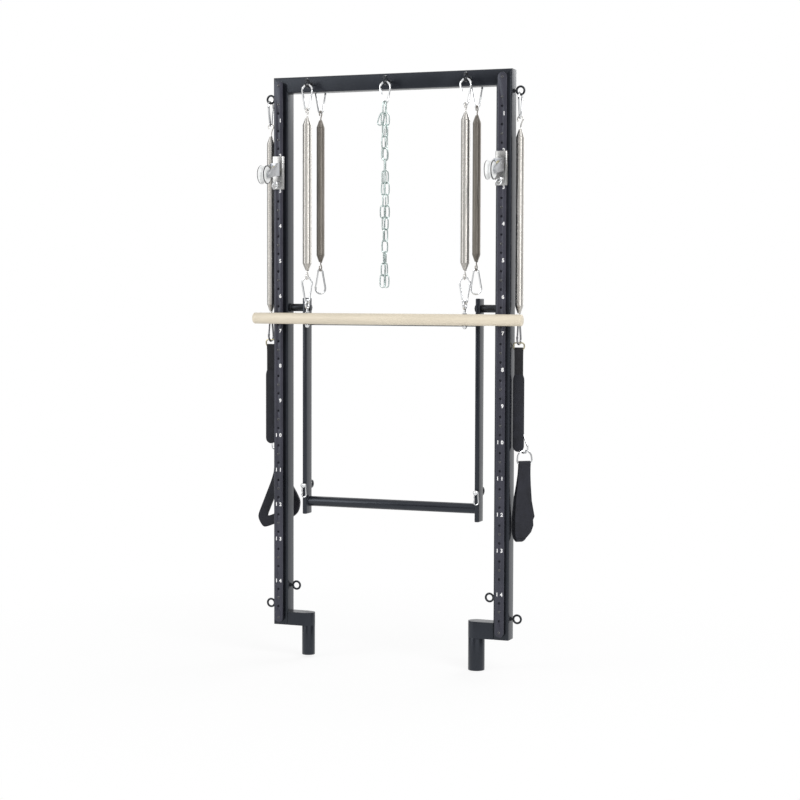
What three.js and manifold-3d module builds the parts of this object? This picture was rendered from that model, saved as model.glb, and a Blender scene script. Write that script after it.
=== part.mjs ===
// A pilates tower: a steel frame that plugs into a reformer, with sprung and hanging attachments.
// Millimetres. X runs to the right, Y away from the viewer and Z up from the underside of the feet.
// Y = 0 is the middle plane of the frame tubes and X = 0 the middle of the frame.

import * as THREE from 'three';
import { mergeVertices } from 'three/addons/utils/BufferGeometryUtils.js';
import Module from 'manifold-3d';

const wasm = await Module();
wasm.setup();

// Shared fits
const SEAT = 0.3;
const OVERRUN = 3;
const LAP = 0.5;

// Frame tubes
const FRAME_WIDTH = 718;
const FRAME_HEIGHT = 1575;
const TUBE = 44.5;
const TUBE_WALL = 3;
const TUBE_CORNER = 4;

// Feet: a short arm with a round leg that drops into the reformer's socket
const LEG_INSET = 101;
const LEG_DROP = 92;
const LEG_WALL = 3;
const LEFT_FOOT_TUBE = 38;
const RIGHT_FOOT_TUBE = 47;

// Scale strips on the fronts of the uprights, numbered every 100 mm; every second row is a hole, and
// below the rows are two holes more
const STRIP_WIDTH = 26;
const STRIP_FLANGE = 5;
const STRIP_PROUD = 15;
const STRIP_RIB = 14;
const STRIP_TOP_INSET = 10.7;
const STRIP_END_CLEAR = 9.5;
const HOLE_START = 4.3;
const HOLE_PITCH = 25;
const HOLE_EVERY = 2;
const FIRST_HOLE_ROW = 3;
const LOW_HOLE_RISE = 83;
const HOLE_RADIUS = 4;
const SCREW_HEIGHT = 1.6;

// Eyebolts
const EYE_RADIUS = 11;
const EYE_WIRE = 3;
const SHANK_RADIUS = 3;
const SHANK_CLEARANCE = 0.35;
const HUB_RADIUS = 6;
const HUB_THICK = 3;
const NUT_ACROSS = 13;
const NUT_THICK = 6;
const SHANK_TIP = 3;
const REAR_EYE_Y = 38;
const EYE_LINE_INSET = 121;
const SIDE_NECK = 4.5;
const SIDE_EYE_DROP = 59;
const SIDE_LOWER_Z = 58;
const INNER_LOWER_Z = 114;

// Snap hooks
const SNAP_LENGTH = 76;
const SNAP_WIDTH = 36;
const SNAP_NARROW = 19;
const SNAP_WIRE = 2.75;

// Springs: reach is from the hook's wire to the end of the coil, and a coil is a share of the frame's height
const SPRING_WIRE = 2;
const HOOK_RADIUS = 8;
const BAND_THICK = 1.5;
const BAND_CROWN = 0.9;
const CONE_RADIUS = 5;
const CONE_LENGTH = 18;
const LOWER_REACH = 25;
const SIDE_LOWER_REACH = 20;
const FRONT_COIL_SHARE = 0.27365;
const REAR_COIL_SHARE = 0.25778;
const SIDE_COIL_SHARE = 0.319365;
const FRONT_COIL = { radius: 13.2, reach: 27, length: FRAME_HEIGHT * FRONT_COIL_SHARE, curls: 7 };
const REAR_COIL = { radius: 12, reach: 27, length: FRAME_HEIGHT * REAR_COIL_SHARE, curls: 7 };
const SIDE_COIL = { radius: 12, reach: 36, length: FRAME_HEIGHT * SIDE_COIL_SHARE, curls: 8 };

// Roll-down bar
const BAR_LENGTH = 810;
const BAR_RADIUS = 16;
const BAR_END_ROUND = 4;
const BAR_NECK = 10.6;
const DOME_HEIGHT = 10;
const DOME_SKIRT = 3;

// Chain, doubled over its snap
const CHAIN_WIRE = 1.8;
const CHAIN_LAP = 0.3;
const LINK_LENGTH = 39;
const LINK_WIDTH = 18;
const CHAIN_SNAP_LENGTH = 65;
const CHAIN_SNAP_NARROW = 21;
const STRAND_SHARE = 0.325714;
const STRAND_SPREAD = 5.6;
const LOOSE_TILT = 0.35;

// Hand straps
const STRAP_RING_WIRE = 2;
const STRAP_RING_HEIGHT = 22;
const WEBBING = 2.5;
const WEB_WIDTH = 24;
const WEB_LENGTH = 72;
const PAD_WIDTH = 32;
const PAD_THICK = 8;
const PAD_LENGTH = 212;
const PAD_EASE = 1.5;
const TAB_RISE = 66;
const TAB_WIDTH = 2.6;
const TAB_EASE = 2.1;

// Foot loops: a webbing fold on the bar of a D-ring, and a padded band
const LOOP_LEAN = 15;
const LEFT_LOOP_BACK = 43;
const D_RING_WIDTH = 46;
const D_RING_WIRE = 2.2;
const D_RING_HEIGHT = 40;
const D_RING_TURN = 0.7;
const D_RING_EASE = 1.5;
const LOOP_SNAP_TURN = -0.35;
const FOLD_WIDTH = 32;
const BAND_THICKNESS = 5;
const BAND_WIDTH = 62;
const BAND_HEIGHT = 218;
const BAND_OPEN = 30;
const BAND_CORNER = 12;
const SPREAD_BAND = 24;
const SPREAD_THICK = 10;
const SPREAD_LEFT = 58;
const SPREAD_RIGHT = 74;
const SPREAD_HEIGHT = 220;

// Pulley carriages
const CARRIAGE_WIDTH = 34;
const CARRIAGE_HEIGHT = 94;
const CARRIAGE_WALL = 3;
const CARRIAGE_GAP = 3.2;
const CARRIAGE_EDGE = 1.5;
const LIP_REACH = 4.5;
const PIN_ROW = 11;
const PIN_BELOW = 31;
const STUD_ABOVE = 9;
const SLEEVE_RADIUS = 8;
const SLEEVE_LENGTH = 6;
const STUD_RADIUS = 4;
const STUD_NUT_ACROSS = 17;
const STUD_NUT_THICK = 7;
const PIN_RADIUS = 3.2;
const PIN_SLEEVE_RADIUS = 6.5;
const PIN_SLEEVE_LENGTH = 8;
const KNOB_RADIUS = 6.5;
const KNOB_LENGTH = 9;
const KNOB_RING_RADIUS = 8;
const KNOB_RING_WIRE = 1.4;
const FORK_PLATE = 3;
const FORK_GAP = 0.8;
const FORK_REAR_HALF = 18;
const FORK_TIP_RADIUS = 9;
const WHEEL_RADIUS = 26;
const WHEEL_WIDTH = 20;
const WHEEL_GROOVE = 8;
const WHEEL_RIM = 4;
const WHEEL_REACH = 92;
const WHEEL_DROP = 19;
const AXLE_RADIUS = 4;
const AXLE_HEAD_RADIUS = 7;
const AXLE_HEAD = 3;

// Push-through bar
const ARM_THICK = 12.7;
const ARM_DEPTH = 38;
const ARM_GAP = 45.5;
const ARM_LENGTH = 622;
const ARM_BOTTOM = 325;
const ARM_CORNER = 3;
const PIVOT_BELOW_TOP = 28;
const PIVOT_SPACER_RADIUS = 11;
const PIVOT_SHANK_RADIUS = 5;
const PIVOT_HEAD_ACROSS = 18;
const PIVOT_HEAD = 6;
const CROSSBAR_RADIUS = 14.3;
const CROSSBAR_WALL = 2;
const UPPER_CROSSBAR_DROP = 64;
const LOWER_CROSSBAR_RISE = 36.5;
const ARM_EYE_RISE = 83;
const ARM_EYE_RADIUS = 9;
const ARM_SHANK_OUT = 13;
const ARM_LINK_LENGTH = 42;
const ARM_LINK_WIDTH = 17;
const ARM_LINK_NARROW = 14.4;
const ARM_LINK_WIRE = 1.7;

// Facets
const ROUND = 16;
const SMALL_ROUND = 6;
const WIRE_SIDES = 5;
const EYE_SIDES = 6;
const EYE_STEPS = 8;
const CURL_STEPS = 8;
const HOOK_STEPS = 6;

// Shares of the sizes that they follow
const BAND_SHARE = 0.44;
const FLAT_SHARE = 0.8;
const FLARE_SHARE = 0.66;
const HEM_SHARE = 0.72;

// Places worked out from the sizes
const HALF_TUBE = TUBE / 2;
const HALF_WIDTH = FRAME_WIDTH / 2;
const UPRIGHT_X = HALF_WIDTH - HALF_TUBE;
const INNER_FACE_X = HALF_WIDTH - TUBE;
const EYE_LINE_X = HALF_WIDTH - EYE_LINE_INSET;
const RAIL_Z = FRAME_HEIGHT - HALF_TUBE;
const SIDE_UPPER_Z = FRAME_HEIGHT - SIDE_EYE_DROP;
const STRAND_DROP = FRAME_HEIGHT * STRAND_SHARE;
const STRIP_FRONT_Y = -HALF_TUBE - STRIP_PROUD;
const STRIP_TOP_Z = FRAME_HEIGHT - STRIP_TOP_INSET - STRIP_WIDTH / 2;
const STRIP_LOW_Z = STRIP_END_CLEAR + STRIP_WIDTH / 2;
const FIRST_ROW_Z = STRIP_TOP_Z - HOLE_START;
const FRONT_LINE_Y = STRIP_FRONT_Y - SCREW_HEIGHT - BAR_RADIUS - SEAT;
const EYE_HOLE = EYE_RADIUS - EYE_WIRE;
const SIDE_LINE_X = HALF_WIDTH + SIDE_NECK + EYE_RADIUS + EYE_WIRE;
const SNAP_REACH = SNAP_LENGTH - 2 * SNAP_WIRE;
const HOOK_STEP = SNAP_WIRE + SPRING_WIRE + SEAT;
const ARM_OUTER_X = INNER_FACE_X - ARM_GAP;
const ARM_TOP = ARM_BOTTOM + ARM_LENGTH;
const PIVOT_Z = ARM_TOP - PIVOT_BELOW_TOP;
const SIDES = [{ side: 'left', sign: -1 }, { side: 'right', sign: 1 }];

// Finishes
function finish(color, roughness, metalness) {
  return new THREE.MeshStandardMaterial({ color, roughness, metalness });
}
const blackPaint = finish(0x1c1c20, 0.42, 0.3);
const stripBlack = finish(0x2b2b31, 0.38, 0.5);
const blackSteel = finish(0x18181a, 0.35, 0.7);
const chrome = finish(0xd8dadb, 0.12, 1);
const springSteel = finish(0xa29d93, 0.3, 1);
const zinc = finish(0xbfc7c6, 0.35, 1);
const brass = finish(0xb49b5e, 0.3, 1);
const maple = finish(0xe3cfa8, 0.5, 0);
const webbingBlack = finish(0x17171a, 0.85, 0);
const nylon = finish(0xe8eaea, 0.35, 0);
const forkGrey = finish(0x6d7075, 0.3, 0.9);

const tower = new THREE.Group();

function piece(name, geometry, material) {
  const mesh = new THREE.Mesh(geometry, material);
  mesh.name = name;
  tower.add(mesh);
}

// Position-only triangles, so that geometries of any class can be joined.
function bare(geometry) {
  const loose = geometry.index ? geometry.toNonIndexed() : geometry.clone();
  for (const name of Object.keys(loose.attributes)) {
    if (name !== 'position') loose.deleteAttribute(name);
  }
  loose.clearGroups();
  return loose;
}

function solid(geometry) {
  const merged = mergeVertices(bare(geometry));
  return new wasm.Manifold(new wasm.Mesh({
    numProp: 3,
    vertProperties: merged.attributes.position.array,
    triVerts: merged.index.array,
  }));
}

function geometryOf(manifold) {
  const mesh = manifold.getMesh();
  const geometry = new THREE.BufferGeometry();
  geometry.setAttribute('position', new THREE.BufferAttribute(mesh.vertProperties, 3));
  geometry.setIndex(new THREE.BufferAttribute(mesh.triVerts, 1));
  return geometry;
}

function joined(...geometries) {
  return geometryOf(geometries.map(solid).reduce((sum, next) => sum.add(next)));
}

function cut(geometry, ...cutters) {
  return geometryOf(cutters.map(solid).reduce((rest, next) => rest.subtract(next), solid(geometry)));
}

function common(first, second) {
  return geometryOf(solid(first).intersect(solid(second)));
}

function moved(geometry, x, y, z) {
  return geometry.clone().translate(x, y, z);
}

// The other side's copy: reflected in X = 0, with its faces turned back outwards.
function mirrored(geometry) {
  const copy = bare(geometry);
  const p = copy.attributes.position;
  for (let i = 0; i < p.count; i += 3) {
    const second = [p.getX(i + 1), p.getY(i + 1), p.getZ(i + 1)];
    p.setXYZ(i, -p.getX(i), p.getY(i), p.getZ(i));
    p.setXYZ(i + 1, -p.getX(i + 2), p.getY(i + 2), p.getZ(i + 2));
    p.setXYZ(i + 2, -second[0], second[1], second[2]);
  }
  return copy;
}

// A piece drawn for the right-hand side, and its reflection on the left.
function pair(name, geometry, material) {
  piece(`left_${name}`, mirrored(geometry), material);
  piece(`right_${name}`, bare(geometry), material);
}

// A rod along X, Y or Z, from one place to another on that axis, at [a, b] on the other two.
function rod(axis, radius, from, to, [a, b], sides = SMALL_ROUND) {
  const geometry = new THREE.CylinderGeometry(radius, radius, Math.abs(to - from), sides);
  const middle = (from + to) / 2;
  if (axis === 'x') return geometry.rotateZ(-Math.PI / 2).translate(middle, a, b);
  if (axis === 'y') return geometry.translate(a, middle, b);
  return geometry.rotateX(Math.PI / 2).translate(a, b, middle);
}

function hexNut(axis, across, from, to, place) {
  return rod(axis, across / Math.sqrt(3), from, to, place, 6);
}

// A clearance hole for a shank; a shank that turns in it needs a rounder one.
function hole(axis, from, to, place, radius = SHANK_RADIUS, sides = SMALL_ROUND) {
  const [low, high] = [Math.min(from, to), Math.max(from, to)];
  return rod(axis, radius + SHANK_CLEARANCE, low - OVERRUN, high + OVERRUN, place, sides);
}

// A turned solid about Y from pairs of radius and height.
function turned(points, sides) {
  return new THREE.LatheGeometry(points.map(([r, y]) => new THREE.Vector2(r, y)), sides);
}

// A rectangle with rounded corners, drawn into a shape or into a hole's path.
function roundedRectangle(path, width, height, radius) {
  const x = width / 2 - radius;
  const y = height / 2 - radius;
  path.absarc(x, -y, radius, -Math.PI / 2, 0, false);
  path.absarc(x, y, radius, 0, Math.PI / 2, false);
  path.absarc(-x, y, radius, Math.PI / 2, Math.PI, false);
  path.absarc(-x, -y, radius, Math.PI, 1.5 * Math.PI, false);
  return path;
}

function extruded(shape, depth, curveSegments = 1) {
  return new THREE.ExtrudeGeometry(shape, { depth, bevelEnabled: false, curveSegments });
}

// Lays an outline drawn in X and Z into the front view, from y0 to y1.
function frontExtrusion(shape, y0, y1, curveSegments = 1) {
  return extruded(shape, y1 - y0, curveSegments).rotateX(Math.PI / 2).translate(0, y1, 0);
}

// Lays an outline drawn in Y and Z into the side view, from x0 to x1.
function sideExtrusion(shape, x0, x1, curveSegments = 1) {
  const toSide = new THREE.Matrix4().makeBasis(
    new THREE.Vector3(0, 1, 0),
    new THREE.Vector3(0, 0, 1),
    new THREE.Vector3(1, 0, 0),
  );
  return extruded(shape, x1 - x0, curveSegments).applyMatrix4(toSide).translate(x0, 0, 0);
}

// A square tube along Z, open at both ends.
function squareTube(length) {
  const outline = roundedRectangle(new THREE.Shape(), TUBE, TUBE, TUBE_CORNER);
  const inside = TUBE - 2 * TUBE_WALL;
  outline.holes.push(roundedRectangle(new THREE.Path(), inside, inside, TUBE_CORNER - TUBE_WALL / 2));
  return extruded(outline, length);
}

// A swept skin through rings of equal size, joined into a loop or closed by flat ends.
function skin(rings, looped) {
  const sides = rings[0].length;
  const positions = rings.flat().flatMap((p) => [p.x, p.y, p.z]);
  const index = [];
  const spans = looped ? rings.length : rings.length - 1;
  for (let i = 0; i < spans; i += 1) {
    const here = i * sides;
    const next = ((i + 1) % rings.length) * sides;
    for (let j = 0; j < sides; j += 1) {
      const k = (j + 1) % sides;
      index.push(here + j, next + j, next + k, here + j, next + k, here + k);
    }
  }
  if (!looped) {
    const last = (rings.length - 1) * sides;
    for (let j = 1; j < sides - 1; j += 1) {
      index.push(0, j, j + 1);
      index.push(last, last + j + 1, last + j);
    }
  }
  const geometry = new THREE.BufferGeometry();
  geometry.setAttribute('position', new THREE.Float32BufferAttribute(positions, 3));
  geometry.setIndex(index);
  return geometry;
}

// A closed wire loop through points of the XZ plane, which run anticlockwise seen from the front.
function wireLoop(points, wire, sides = WIRE_SIDES) {
  const across = new THREE.Vector3(0, -1, 0);
  const rings = points.map((point, i) => {
    const before = points[(i + points.length - 1) % points.length];
    const after = points[(i + 1) % points.length];
    const ahead = new THREE.Vector2().subVectors(after, point).normalize();
    const along = new THREE.Vector2().subVectors(point, before).normalize().add(ahead).normalize();
    const mitre = wire / along.dot(ahead);
    const inward = new THREE.Vector3(-along.y, 0, along.x);
    return Array.from({ length: sides }, (_, j) => {
      const turn = (-2 * Math.PI * j) / sides;
      return new THREE.Vector3(point.x, 0, point.y)
        .addScaledVector(inward, mitre * Math.cos(turn))
        .addScaledVector(across, wire * Math.sin(turn));
    });
  });
  return skin(rings, true);
}

function arc(cx, cy, radius, from, to, steps) {
  return Array.from({ length: steps + 1 }, (_, i) => {
    const turn = from + ((to - from) * i) / steps;
    return new THREE.Vector2(cx + radius * Math.cos(turn), cy + radius * Math.sin(turn));
  });
}

// A snap hook in the XZ plane, hung from the middle of its top wire at the origin.
function snapHook(wideUp, length = SNAP_LENGTH, narrow = SNAP_NARROW, width = SNAP_WIDTH, wire = SNAP_WIRE) {
  const wide = width / 2 - wire;
  const slim = narrow / 2 - wire;
  const reach = length - 2 * wire;
  const tilt = Math.asin((wide - slim) / (reach - wide - slim));
  const head = arc(0, -wide, wide, -tilt, Math.PI + tilt, 6);
  const foot = arc(0, -reach + slim, slim, Math.PI + tilt, 2 * Math.PI - tilt, 4);
  const loop = wireLoop([...head, ...foot], wire);
  return wideUp ? loop : loop.rotateY(Math.PI).translate(0, 0, -reach);
}

// An eye centred on the origin, in the plane of X and Z or, turned, of Y and Z.
function eyeRing(turn = 0, radius = EYE_RADIUS) {
  return new THREE.TorusGeometry(radius, EYE_WIRE, EYE_SIDES, EYE_STEPS).rotateX(Math.PI / 2).rotateZ(turn);
}
const ACROSS_Y = Math.PI / 2;

// One spring as a single tube: hook, cone, curls, cone, hook. Its hooks lie in the plane of e and Z.
function springRings(coil, hookTop, lowerReach, e) {
  const up = new THREE.Vector3(0, 0, 1);
  const side = new THREE.Vector3().crossVectors(up, e);
  const slant = side.clone().add(up).normalize();
  const top = hookTop - coil.reach;
  const bottom = top - coil.length;
  const hookBottom = bottom - lowerReach;
  const halfBand = (coil.length / coil.curls) * BAND_SHARE;
  const rings = [];
  const ring = (centre, u, v, thick, wide, crown) => {
    const corners = [
      [thick, -wide], [thick + crown, 0], [thick, wide], [-thick, wide], [-thick, -wide],
    ];
    rings.push(corners.map(([a, b]) => centre.clone().addScaledVector(u, a).addScaledVector(v, b)));
  };
  const wire = SPRING_WIRE * FLAT_SHARE;
  const round = (centre, u, v) => ring(centre, u, v, wire, wire, SPRING_WIRE - wire);
  const hook = (loopZ, from, to) => {
    for (let i = 0; i <= HOOK_STEPS; i += 1) {
      const turn = THREE.MathUtils.degToRad(from + ((to - from) * i) / HOOK_STEPS);
      const out = e.clone().multiplyScalar(Math.cos(turn)).addScaledVector(up, Math.sin(turn));
      round(out.clone().multiplyScalar(HOOK_RADIUS).addScaledVector(up, loopZ), out, side);
    }
  };
  const stem = (z) => round(e.clone().multiplyScalar(CONE_RADIUS).addScaledVector(up, z), e, slant);

  hook(hookTop - HOOK_RADIUS, 210, -30);
  stem(top + (coil.reach - 1.6 * HOOK_RADIUS) / 2);
  const steps = coil.curls * CURL_STEPS;
  for (let i = 0; i <= steps; i += 1) {
    const z = top - (coil.length * i) / steps;
    const share = Math.min(1, Math.min(top - z, z - bottom) / CONE_LENGTH);
    const radius = CONE_RADIUS + (coil.radius - CONE_RADIUS) * Math.sin((share * Math.PI) / 2);
    const turn = (2 * Math.PI * i) / CURL_STEPS;
    const out = e.clone().multiplyScalar(Math.cos(turn)).addScaledVector(side, Math.sin(turn));
    const thick = wire + (BAND_THICK / 2 - wire) * share;
    const centre = out.clone().multiplyScalar(radius - thick - BAND_CROWN * share).addScaledVector(up, z);
    ring(centre, out, up, thick, wire + (halfBand - wire) * share, BAND_CROWN * share);
  }
  stem(bottom - (lowerReach - 1.6 * HOOK_RADIUS) / 2);
  hook(hookBottom + HOOK_RADIUS, 30, -210);
  return rings;
}

// The least distance between points of a spring's skin that lie from half a curl to two curls apart.
function leastGap(rings) {
  const apart = CURL_STEPS / 2 + 2;
  let least = Infinity;
  rings.forEach((ring, i) => {
    for (let k = i + apart; k < Math.min(rings.length, i + 2 * CURL_STEPS); k += 1) {
      for (const p of ring) {
        for (const q of rings[k]) least = Math.min(least, p.distanceTo(q));
      }
    }
  });
  return least;
}

function spring(name, coil, hookTop, lowerReach, e, x, y) {
  const rings = springRings(coil, hookTop, lowerReach, e);
  console.log(`${name}: least gap to itself ${leastGap(rings).toFixed(2)} mm`);
  piece(name, moved(skin(rings, false), x, y, 0), springSteel);
}

// A cube that covers one side of the corner's mitre: the rail's side, or the upright's.
function mitreHalf(sign, towardsRail) {
  const size = 4 * TUBE;
  const step = (towardsRail * (size - SEAT)) / 2 / Math.SQRT2;
  return new THREE.BoxGeometry(size, size, size)
    .rotateY(Math.PI / 4)
    .translate(sign * (UPRIGHT_X - step), 0, RAIL_Z + step);
}

// A side eyebolt in the wall at faceX, with its eye on the side that sign names and its hub
// stood off the face.
function sideEyebolt(faceX, sign, z, standOff) {
  const eyeX = faceX + sign * (SIDE_NECK + EYE_RADIUS + EYE_WIRE);
  return joined(
    moved(eyeRing(), eyeX, 0, z),
    rod('x', SHANK_RADIUS, eyeX - sign * EYE_RADIUS, faceX - sign * (TUBE_WALL + SHANK_TIP), [0, z]),
    rod('x', HUB_RADIUS, faceX + sign * standOff, faceX + sign * HUB_THICK, [0, z]),
  );
}

// Eyebolts through the rail. The outer two carry an eye nut at the back, the middle one a plain nut.
function railEyebolts() {
  const face = HALF_TUBE - LAP;
  const front = joined(
    moved(eyeRing(ACROSS_Y), 0, FRONT_LINE_Y, 0),
    rod('y', HUB_RADIUS, -HALF_TUBE - HUB_THICK, -face, [0, 0]),
    rod('y', SHANK_RADIUS, FRONT_LINE_Y + EYE_RADIUS, HALF_TUBE + NUT_THICK + SHANK_TIP, [0, 0]),
  );
  const eyeNut = joined(
    moved(eyeRing(ACROSS_Y), 0, REAR_EYE_Y, 0),
    rod('y', HUB_RADIUS, face, REAR_EYE_Y - EYE_RADIUS, [0, 0]),
  );
  const plainNut = hexNut('y', NUT_ACROSS, face, HALF_TUBE + NUT_THICK, [0, 0]);
  return [
    moved(front, -EYE_LINE_X, 0, RAIL_Z),
    moved(front, 0, 0, RAIL_Z),
    moved(front, EYE_LINE_X, 0, RAIL_Z),
    moved(eyeNut, -EYE_LINE_X, 0, RAIL_Z),
    moved(plainNut, 0, 0, RAIL_Z),
    moved(eyeNut, EYE_LINE_X, 0, RAIL_Z),
  ];
}

// Frame: two uprights and a rail, mitred at the corners
function frame() {
  const upright = cut(
    squareTube(FRAME_HEIGHT).translate(UPRIGHT_X, 0, 0),
    mitreHalf(1, 1),
    hole('x', INNER_FACE_X, INNER_FACE_X + TUBE_WALL, [0, PIVOT_Z], PIVOT_SHANK_RADIUS),
    hole('x', INNER_FACE_X, INNER_FACE_X + TUBE_WALL, [0, INNER_LOWER_Z]),
    hole('x', HALF_WIDTH - TUBE_WALL, HALF_WIDTH, [0, SIDE_LOWER_Z]),
  );
  pair('upright', joined(upright, sideEyebolt(HALF_WIDTH, 1, SIDE_UPPER_Z, -LAP)), blackPaint);
  pair('lower_outer_eyebolt', sideEyebolt(HALF_WIDTH, 1, SIDE_LOWER_Z, SEAT), blackSteel);
  pair('lower_inner_eyebolt', sideEyebolt(INNER_FACE_X, -1, INNER_LOWER_Z, SEAT), blackSteel);

  const rail = cut(
    squareTube(FRAME_WIDTH).rotateY(Math.PI / 2).translate(-HALF_WIDTH, 0, RAIL_Z),
    mitreHalf(-1, -1),
    mitreHalf(1, -1),
  );
  piece('top_rail', joined(rail, ...railEyebolts()), blackPaint);
}

// A foot: an arm welded to the upright's inner face, and a round leg that is closed on top
function foot(across) {
  const legX = HALF_WIDTH - LEG_INSET;
  const end = INNER_FACE_X - SEAT;
  const hollowHeight = across - 2 * LEG_WALL;
  const outside = roundedRectangle(new THREE.Shape(), TUBE, across, TUBE_CORNER);
  const inside = roundedRectangle(
    new THREE.Shape(), TUBE - 2 * LEG_WALL, hollowHeight, TUBE_CORNER - LEG_WALL / 2,
  );
  return cut(
    joined(
      sideExtrusion(outside, legX, end).translate(0, 0, across / 2),
      rod('z', across / 2, -LEG_DROP, across, [legX, 0], ROUND),
    ),
    rod('z', hollowHeight / 2, -LEG_DROP - OVERRUN, across - LEG_WALL, [legX, 0], ROUND),
    sideExtrusion(inside, legX + LEG_WALL, end + OVERRUN).translate(0, 0, across / 2),
  );
}

// Scale strips: a rounded flange on a narrower rib, which stands it off the upright. Its screws
// sit between the holes, and their heads stand SCREW_HEIGHT proud.
function strip() {
  const half = STRIP_WIDTH / 2;
  const flange = new THREE.Shape();
  flange.absarc(0, STRIP_LOW_Z, half, Math.PI, 2 * Math.PI, false);
  flange.absarc(0, STRIP_TOP_Z, half, 0, Math.PI, false);
  const step = HOLE_EVERY * HOLE_PITCH;
  const lowHole = STRIP_LOW_Z + LOW_HOLE_RISE;
  const heights = [lowHole, lowHole - step];
  for (let z = FIRST_ROW_Z - FIRST_HOLE_ROW * HOLE_PITCH; z >= lowHole + step; z -= step) heights.push(z);
  for (const z of heights) {
    const path = new THREE.Path();
    path.absarc(0, z, HOLE_RADIUS, 0, 2 * Math.PI, true);
    flange.holes.push(path);
  }
  const rib = new THREE.Shape();
  rib.absarc(0, STRIP_LOW_Z, STRIP_RIB / 2, Math.PI, 2 * Math.PI, false);
  rib.absarc(0, STRIP_TOP_Z, STRIP_RIB / 2, 0, Math.PI, false);
  const back = STRIP_FRONT_Y + STRIP_FLANGE;
  return joined(
    frontExtrusion(flange, STRIP_FRONT_Y, back, 3),
    frontExtrusion(rib, back - LAP, -HALF_TUBE - SEAT, 3),
  );
}

// Heights down a hanging line, from the eye that carries it
function hangingLine(eyeZ, coil, lowerReach) {
  const snapTop = eyeZ - EYE_HOLE + SNAP_WIRE + SEAT;
  const hookTop = snapTop - SNAP_REACH + HOOK_STEP;
  const lowerTop = hookTop - coil.reach - coil.length - lowerReach + HOOK_STEP;
  return { snapTop, hookTop, lowerTop, lowerBottom: lowerTop - SNAP_REACH };
}

const ALONG_X = new THREE.Vector3(1, 0, 0);
const ALONG_Y = new THREE.Vector3(0, 1, 0);

function rollDownBar() {
  const line = hangingLine(RAIL_Z, FRONT_COIL, LOWER_REACH);
  const eyeZ = line.lowerBottom + SNAP_WIRE + SEAT - EYE_HOLE;
  const barZ = eyeZ - EYE_RADIUS - EYE_WIRE - BAR_NECK - BAR_RADIUS;
  const half = BAR_LENGTH / 2;
  const dowel = turned([
    [0, -half], [BAR_RADIUS - BAR_END_ROUND, -half], [BAR_RADIUS, -half + BAR_END_ROUND],
    [BAR_RADIUS, half - BAR_END_ROUND], [BAR_RADIUS - BAR_END_ROUND, half], [0, half],
  ], ROUND).rotateZ(-Math.PI / 2).translate(0, FRONT_LINE_Y, barZ);
  const holes = SIDES.map(({ sign }) => hole(
    'z', barZ - BAR_RADIUS, barZ + BAR_RADIUS, [sign * EYE_LINE_X, FRONT_LINE_Y],
  ));
  piece('roll_down_bar', cut(dowel, ...holes), maple);

  const topFace = barZ + BAR_RADIUS + SEAT;
  const underside = barZ - BAR_RADIUS - SEAT;
  const domeRadius = NUT_ACROSS / 2;
  const dome = turned([
    [0, 0], [domeRadius, 0], [domeRadius, DOME_SKIRT],
    [domeRadius * Math.SQRT1_2, DOME_SKIRT + (DOME_HEIGHT - DOME_SKIRT) * Math.SQRT1_2], [0, DOME_HEIGHT],
  ], SMALL_ROUND).rotateX(-Math.PI / 2).translate(0, 0, underside);
  const eyebolt = joined(
    moved(eyeRing(ACROSS_Y), 0, 0, eyeZ),
    rod('z', SHANK_RADIUS, underside - LAP, eyeZ - EYE_RADIUS, [0, 0]),
    rod('z', HUB_RADIUS, topFace, topFace + HUB_THICK, [0, 0]),
    dome,
  );
  for (const { side, sign } of SIDES) {
    const x = sign * EYE_LINE_X;
    piece(`${side}_front_upper_snap`, moved(snapHook(true), x, FRONT_LINE_Y, line.snapTop), chrome);
    spring(`${side}_front_spring`, FRONT_COIL, line.hookTop, LOWER_REACH, ALONG_Y, x, FRONT_LINE_Y);
    piece(`${side}_front_lower_snap`, moved(snapHook(true), x, FRONT_LINE_Y, line.lowerTop), chrome);
    piece(`${side}_bar_eyebolt`, moved(eyebolt, x, FRONT_LINE_Y, 0), chrome);
  }
}

function rearSprings() {
  const line = hangingLine(RAIL_Z, REAR_COIL, LOWER_REACH);
  for (const { side, sign } of SIDES) {
    const x = sign * EYE_LINE_X;
    piece(`${side}_rear_upper_snap`, moved(snapHook(true), x, REAR_EYE_Y, line.snapTop), chrome);
    spring(`${side}_rear_spring`, REAR_COIL, line.hookTop, LOWER_REACH, ALONG_Y, x, REAR_EYE_Y);
    piece(`${side}_rear_lower_snap`, moved(snapHook(false), x, REAR_EYE_Y, line.lowerTop), chrome);
  }
}

// A webbing fold round a bar at the origin, in Y and Z, sewn into one tail down to tailZ.
function foldOutline(barRadius, tailHalf, tailZ) {
  const inner = barRadius + SEAT;
  const outer = inner + WEBBING;
  const meet = Math.asin(tailHalf / outer);
  const outline = new THREE.Shape();
  outline.absarc(0, 0, outer, -Math.PI / 2 + meet, 1.5 * Math.PI - meet, false);
  outline.lineTo(-tailHalf, tailZ);
  outline.lineTo(tailHalf, tailZ);
  const eye = new THREE.Path();
  eye.absarc(0, 0, inner, 0, 2 * Math.PI, true);
  outline.holes.push(eye);
  return outline;
}

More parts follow.
